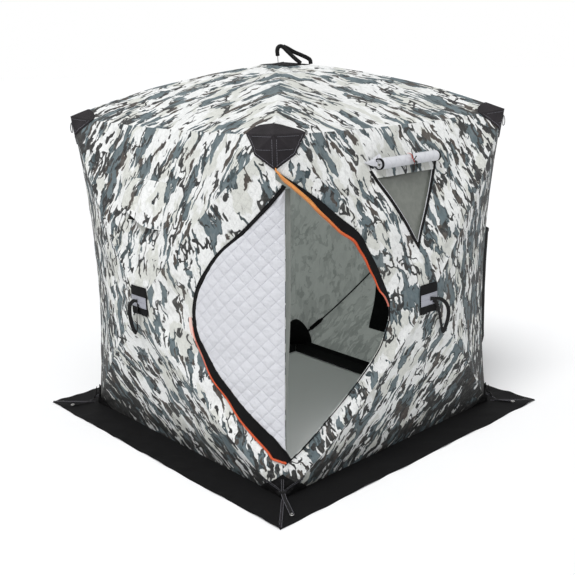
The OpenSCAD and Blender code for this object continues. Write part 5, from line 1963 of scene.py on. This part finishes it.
@dataclass
class Vents(Part):
    """Hoods over the vents, open at their lower lip, with mesh behind."""

    low: float = 1.340
    top: float = 1.580
    half: float = 0.195
    off: float = 0.048
    slant: float = 0.072
    panel_half: float = 0.17
    panel_z: tuple = (1.345, 1.495)

    def hood(self, side: Side) -> None:
        """Hood: its lift falls with a power of the height and of the place across."""
        t, c = spans(44, 70, over=(-1, 1))
        hand = -1 if side is Side.FRONT else 1
        open_end = self.slant * ease((hand * c + 0.55) / 1.5)
        z = self.low + open_end + (self.top - self.low - open_end) * t
        z = z - 0.012 * (1 - t) * (1 - c ** 2)
        p = c * self.half * (0.86 + 0.14 * t) * (1 + 0.13 * np.clip(hand * c, 0, 1) * (1 - t))
        end = np.where(hand * c > 0, 8.0, 3.0)
        lift = self.off * (1 - t ** 1.6) * (1 - np.abs(c) ** end) * (1 + 0.25 * hand * c)
        fold = waves(200 + side.index, p, z * 0.6, 9, 0.05, 0.16) * 0.0045
        lift = lift + fold * (1 - t) ** 0.5 * (1 - c ** 4) * (1 - c ** 2)
        lift = lift * (1 - 0.35 * np.exp(-((hand * c - 0.62) / 0.10) ** 2) * (1 - t))
        lift = np.maximum(lift, 0) + 0.0012
        made = self.laid(side, p, z, lift + 0.002, lift, slots=(0, 1, 0), shift=(17.0, 2.0))
        made.cloth(f"vent_hood_{side.value}", "camo_cloth",
                   [self.finishes.camo, self.finishes.inner], (0.42, 0.30), "hung",
                   [f"{side.value}_wall_top_cloth"], ["vent_hoods"])

    def mesh(self, side: Side) -> None:
        """Mesh panel inside the vent's hole, solid black: partly the mesh's own colour and partly
        painted shade of the vent's inside.
        """
        z, p = spans(8, 12, self.panel_z, (-self.panel_half, self.panel_half))
        made = self.laid(side, p, z, -0.0070, -0.0084)
        # Black cloth: partly the mesh and partly painted shade.
        made.cloth(f"vent_mesh_{side.value}", "black_cloth", [self.finishes.black], (0.34, 0.15),
                   "stretched", [f"{side.value}_wall_top_cloth"])

    def build(self) -> None:
        """Builds both vents."""
        for side in (Side.FRONT, Side.BACK):
            self.hood(side)
            self.mesh(side)


@dataclass
class HubTrim(Part):
    """Patches with a reflective band over the wall hubs, and the pull straps."""

    half: float = 0.074
    low: float = 0.850
    top: float = 1.014
    route: tuple = (
        (0.006, 0.930, 0.012), (0.024, 0.931, 0.026), (0.043, 0.905, 0.038),
        (0.052, 0.855, 0.040), (0.054, 0.800, 0.034), (0.050, 0.756, 0.024),
        (0.038, 0.742, 0.016), (0.030, 0.776, 0.015), (0.026, 0.830, 0.015),
        (0.016, 0.888, 0.013), (0.006, 0.915, 0.011))
    wide_route: tuple = (
        (0.004, 0.930, 0.012), (0.034, 0.927, 0.022), (0.070, 0.918, 0.032),
        (0.108, 0.888, 0.042), (0.130, 0.845, 0.044), (0.136, 0.790, 0.036),
        (0.130, 0.738, 0.024), (0.120, 0.716, 0.018), (0.108, 0.750, 0.018),
        (0.086, 0.825, 0.018), (0.058, 0.892, 0.018), (0.030, 0.918, 0.013))

    def patch(self, side: Side) -> None:
        """Black patch with soft corners, and the band across it."""
        form = self.form
        z, c = spans(22, 26, (self.low, self.top), (-1, 1))
        middle, tall = (self.low + self.top) / 2, (self.top - self.low) / 2
        round_it = 1 - 0.10 * np.clip(np.abs(z - middle) / tall, 0, 1) ** 6
        p = c * self.half * round_it
        rim = 0.0014 * (c ** 8 + (np.abs(z - middle) / tall) ** 8).clip(0, 1)
        made = self.laid(side, p, z, 0.0046 - rim + 0.002, 0.0046 - rim)
        made.cloth(f"hub_patch_{side.value}", "black_cloth", [self.finishes.black], (0.152, 0.166),
                   "stretched", ["hubs"], ["hub_patches"])
        z, p = np.linspace(0.896, 0.960, 14)[:, None], c * (self.half - 0.006)
        band = self.laid(side, p, z, 0.0081, 0.0071)
        strip = band.piece(f"hub_band_{side.value}", "reflective_band", [self.finishes.band])
        thread = Builder()
        for x in (-1, 1):
            for z0 in (0.901, 0.928, 0.955):
                q = np.linspace(0, x * (self.half - 0.010), 24)
                thread.stitches(form.on_wall(side, q, z0 + 0 * q, 0.0083), side.out)
        rows = thread.piece(f"hub_thread_{side.value}", "black_cloth", [self.finishes.thread])

    def strap(self, side: Side) -> None:
        """The pull strap: a webbing loop that leaves the band sideways, falls off the wall and
        comes back under itself, turned edge-on as it falls."""
        made = Builder()
        hand = -1 if side in (Side.FRONT, Side.BACK) else 1
        line = np.asarray(self.route if hand < 0 else self.wide_route)
        flat = self.form.wall_point(side, hand * line[:, 0], line[:, 1], 0.0)
        flat[:, 1] = np.maximum(flat[:, 1], self.form.hub_out - 0.006) + line[:, 2]
        path = side.turned(smooth_path(flat, 110))
        along = tangents(path)
        out = side.out
        across = unit(np.cross(along, out) + 1e-4)
        share = np.linspace(0, 1, 110)[:, None]
        turn = -np.radians(50) * np.sin(math.pi * share) ** 0.6 * hand
        if hand > 0:
            turn = turn * ease((0.72 - share) / 0.2)
        wide = across * np.cos(turn) + out * np.sin(turn)
        wide = unit(wide - along * (wide * along).sum(1, keepdims=True))
        made.carried(path, wide, np.cross(along, wide), strap_section(0.021, 0.0034))
        made.piece(f"pull_strap_{side.value}", "webbing", [self.finishes.webbing], ["pull_straps"])

    def build(self) -> None:
        """Builds the trim of the four hubs."""
        for side in Side:
            self.patch(side)
            self.strap(side)


@dataclass
class RoofTrim(Part):
    """Patch over the roof's hub and the carrying loop."""

    reach: float = 0.105

    def patch(self) -> None:
        """Four-part black patch over the peak."""
        made = Builder()
        s, w = spans(12, 26, (0.004, self.reach / self.form.top_half), (-1, 1))
        for side in Side:
            faces = [side.turned(self.form.roof_point(side, s, w, off))
                     for off in (0.0032, 0.0010)]
            made.sheet(*faces, grid_coords(w * s, s))
        made.cloth("roof_patch_cloth", "black_cloth", [self.finishes.black], (0.23, 0.23),
                   "stretched", ["hubs"], ["roof_patch"])

    def handle(self) -> None:
        """Carrying loop: two ribs of webbing that rise from their feet on the ridge, meet over
        the hub and bend down to a thick free end, and a thin stem under it."""
        peak = self.form.peak_h
        away, near = np.array([1, 1, 0]) / math.sqrt(2), np.array([1, -1, 0]) / math.sqrt(2)

        def at(r: float, n: float, up: float) -> Array:
            """Point r along the ridge, n towards the front corner, up over the peak."""
            return away * r + near * n + np.array([0, 0, peak + up])

        front = [at(0.100, 0.030, -0.004), at(0.060, 0.022, 0.030), at(0.022, 0.014, 0.066),
                 at(0.000, 0.010, 0.088), at(-0.018, 0.006, 0.097), at(-0.034, 0.004, 0.090),
                 at(-0.040, 0.002, 0.068), at(-0.038, 0.002, 0.042)]
        rear = [at(0.158, -0.016, -0.010), at(0.150, -0.014, 0.018), at(0.105, -0.010, 0.042),
                at(0.060, -0.004, 0.062), at(0.022, 0.0, 0.084), at(-0.004, 0.004, 0.096)]
        made = Builder()
        for points, wide in ((front, 0.024), (rear, 0.024)):
            path = smooth_path(points, 70)
            along = tangents(path)
            across = unit(np.cross(along, near) + 0.25 * near)
            across = unit(across - along * (across * along).sum(1, keepdims=True))
            made.carried(path, across, np.cross(across, along), strap_section(wide, 0.0035))
        grip = smooth_path([at(-0.020, 0.006, 0.096), at(-0.034, 0.004, 0.089),
                            at(-0.040, 0.002, 0.068), at(-0.038, 0.002, 0.040)], 40)
        across, up = leant(grip, away)
        swell = 0.0125 * (0.6 + 0.4 * np.sin(math.pi * np.linspace(0.1, 0.95, 40)) ** 0.5)
        section = round_section(1.0, 12)[None] * swell[:, None, None]
        made.carried(grip, across, -up, section)
        stem = smooth_path([at(-0.038, 0.002, 0.044), at(-0.037, 0.001, 0.020),
                            at(-0.036, 0.0, -0.004)], 16)
        across, up = leant(stem, away)
        made.carried(stem, across, -up, round_section(0.0018, 8))
        made.piece("roof_handle_webbing", "webbing", [self.finishes.webbing], ["roof_handle"])

    def build(self) -> None:
        """Builds the roof's trim."""
        self.patch()
        self.handle()


@dataclass
class Pockets(Part):
    """The gear pocket outside the back wall and the flat pocket inside it."""


    def bag(self, name: str, node: str, mid: float, half: float, low: float, tall: float,
            deep: float, flat: tuple[float, float]) -> None:
        """A pocket: cloth that swells off the wall by a product of powers across and up, open
        at its top, where a binding stiffens it."""
        form, way = self.form, 1 if deep > 0 else -1
        t = np.linspace(0, 1, 60)[:, None]
        c = np.sin(np.linspace(-1, 1, 60) * math.pi / 2)[None]
        z, p = low + tall * t, mid + c * half
        swell = np.minimum(1, 14 * (1 - np.abs(c))) ** 0.5 * np.minimum(1, t * 14) ** 0.5
        fold = waves(210 + int(half * 100), p, z, 9, 0.06, 0.25) * 0.003
        near = 0.0022 if way > 0 else form.cloth_t + 0.0022
        lift = near + (abs(deep) * (0.80 + 0.14 * t) + fold * (1 - c ** 4)) * swell
        base = form.wall_point(Side.BACK, p, z)
        faces = []
        for thick in (0.002, 0.0):
            moved = base.copy()
            moved[..., 1] += way * (lift + thick)
            faces.append(Side.BACK.turned(moved))
        made = Builder().sheet(*faces, grid_coords(p, z))
        made.cloth(name, "black_cloth", [self.finishes.black], flat, "hung",
                   ["back_wall_right_cloth"], [node])
        rim = faces[0][-1]
        trim = Builder().carried(rim, UP, np.cross(tangents(rim), UP),
                                 strap_section(0.022, 0.003))
        trim.piece(name + "_binding", "webbing", [self.finishes.webbing])

    def build(self) -> None:
        """Builds both pockets."""
        self.bag("gear_pocket_cloth", "gear_pocket", -0.695, 0.165, 0.38, 0.75, 0.046,
                 (0.43, 0.80))
        self.bag("inner_pocket_cloth", "inner_pocket", 0.0, 0.19, 0.24, 0.40, -0.012,
                 (0.40, 0.43))


@dataclass
class Frame:
    """The rods and hubs, which stay as the frame has them and get their finishes."""

    nodes: dict
    finishes: Finishes

    def build(self) -> None:
        """Dresses the nodes."""
        for name, node in self.nodes.items():
            if node.hide_render:
                continue
            finish = self.finishes.moulding if name == "hubs" else self.finishes.rod
            node.data.materials.clear()
            node.data.materials.append(finish)
            LOG.info("%s: dressed", name)


@dataclass
class Studio:
    """Pale floor, soft light and the camera at the photograph's place."""

    place: tuple = (3.96536, -3.64891, 2.27460)
    azimuth: float = 47.47
    elevation: float = 15.49
    roll: float = -1.2
    focal: float = 879.6
    frame: float = 575.0
    sensor: float = 36.0
    floor_half: float = 60.0
    floor_z: float = -0.0006

    def camera(self) -> None:
        """Camera from the angles: its axes are the view's right, up and back, rolled. Its lens
        is the focal length in pixels of the frame, times the sensor's width."""
        a, e, r = (math.radians(v) for v in (self.azimuth, self.elevation, self.roll))
        look = Vector((-math.sin(a) * math.cos(e), math.cos(a) * math.cos(e), -math.sin(e)))
        right = Vector((math.cos(a), math.sin(a), 0))
        up = right.cross(look)
        x = math.cos(r) * right + math.sin(r) * up
        y = -math.sin(r) * right + math.cos(r) * up
        data = bpy.data.cameras.new("camera")
        data.sensor_width = self.sensor
        data.lens = self.focal / self.frame * self.sensor
        data.clip_end = 100.0
        obj = bpy.data.objects.new("camera", data)
        turn = Matrix((x, y, -look)).transposed().to_4x4()
        obj.matrix_world = Matrix.Translation(self.place) @ turn
        bpy.context.scene.collection.objects.link(obj)
        bpy.context.scene.camera = obj

    def world(self) -> None:
        """White to the camera and in reflections, a plain soft light otherwise."""
        world = bpy.data.worlds.new("studio")
        bpy.context.scene.world = world
        world.use_nodes = True
        tree = world.node_tree
        tree.nodes.clear()
        path = tree.nodes.new("ShaderNodeLightPath")
        seen = path.outputs["Is Camera Ray"]
        for name in ("Is Glossy Ray", "Is Transmission Ray"):
            either = tree.nodes.new("ShaderNodeMath")
            either.operation = "MAXIMUM"
            tree.links.new(seen, either.inputs[0])
            tree.links.new(path.outputs[name], either.inputs[1])
            seen = either.outputs[0]
        soft, white = (tree.nodes.new("ShaderNodeBackground") for _ in range(2))
        soft.inputs[0].default_value = (0.97, 0.985, 1.0, 1)
        soft.inputs[1].default_value = 0.35
        white.inputs[0].default_value = (1, 1, 1, 1)
        white.inputs[1].default_value = 1.0
        mix, out = tree.nodes.new("ShaderNodeMixShader"), tree.nodes.new("ShaderNodeOutputWorld")
        tree.links.new(seen, mix.inputs[0])
        tree.links.new(soft.outputs[0], mix.inputs[1])
        tree.links.new(white.outputs[0], mix.inputs[2])
        tree.links.new(mix.outputs[0], out.inputs[0])

    def floor(self) -> None:
        """Plain pale floor, a little under the skirt."""
        g = Graph("floor")
        cloud = g.noise(g.spot(), 0.6, 2, 0.5)
        tone = g.mix(cloud, srgb(250, 250, 250), srgb(246, 246, 247))
        material = g.surface({"Base Color": tone, "Roughness": 0.9, "Specular IOR Level": 0.1})
        mesh = bpy.data.meshes.new("floor")
        corners = [(x * self.floor_half, y * self.floor_half, self.floor_z)
                   for x, y in ((-1, -1), (1, -1), (1, 1), (-1, 1))]
        mesh.from_pydata(corners, [], [(0, 1, 2, 3)])
        mesh.materials.append(material)
        obj = bpy.data.objects.new("floor", mesh)
        bpy.context.scene.collection.objects.link(obj)

    def lamp(self, name: str, way: Sequence[float], elevation: float, power: float,
             soft: float) -> None:
        """Far, wide lamp.

        Args:
            name: its name.
            way: horizontal direction in which it stands.
            elevation: its height over the horizon in degrees.
            power: strength.
            soft: its width in degrees.
        """
        data = bpy.data.lights.new(name, "SUN")
        data.angle = math.radians(soft)
        data.energy = power
        obj = bpy.data.objects.new(name, data)
        flat = Vector((way[0], way[1], 0)).normalized()
        rise = math.radians(elevation)
        back = flat * math.cos(rise) + Vector((0, 0, math.sin(rise)))
        obj.rotation_mode = "QUATERNION"
        obj.rotation_quaternion = back.to_track_quat("Z", "Y")
        bpy.context.scene.collection.objects.link(obj)

    def build(self) -> None:
        """Builds the studio."""
        bpy.context.scene.view_settings.view_transform = "Standard"
        self.world()
        self.floor()
        self.lamp("key", (0.35, -0.94), 58, 1.8, 26)
        self.lamp("fill", (0.72, -0.69), 57, 1.0, 45)
        self.camera()


def main() -> None:
    """Builds the shelter's pieces around the frame."""
    logging.basicConfig(level=logging.INFO, format="%(name)s %(message)s")
    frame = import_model()
    form, finishes = CabinForm(), Finishes()
    door = DoorForm(form)
    cabin = Cabin(form, finishes, door)
    for part in (
        cabin, Skirt(form, finishes), Corners(form, finishes), Foot(form, finishes),
        Door(form, finishes, door), Windows(form, finishes, cabin), Vents(form, finishes),
        HubTrim(form, finishes), RoofTrim(form, finishes), Pockets(form, finishes),
        Frame(frame["nodes"], finishes), Studio(),
    ):
        part.build()
        LOG.info("%s built", type(part).__name__)


if __name__ == "__main__":
    main()
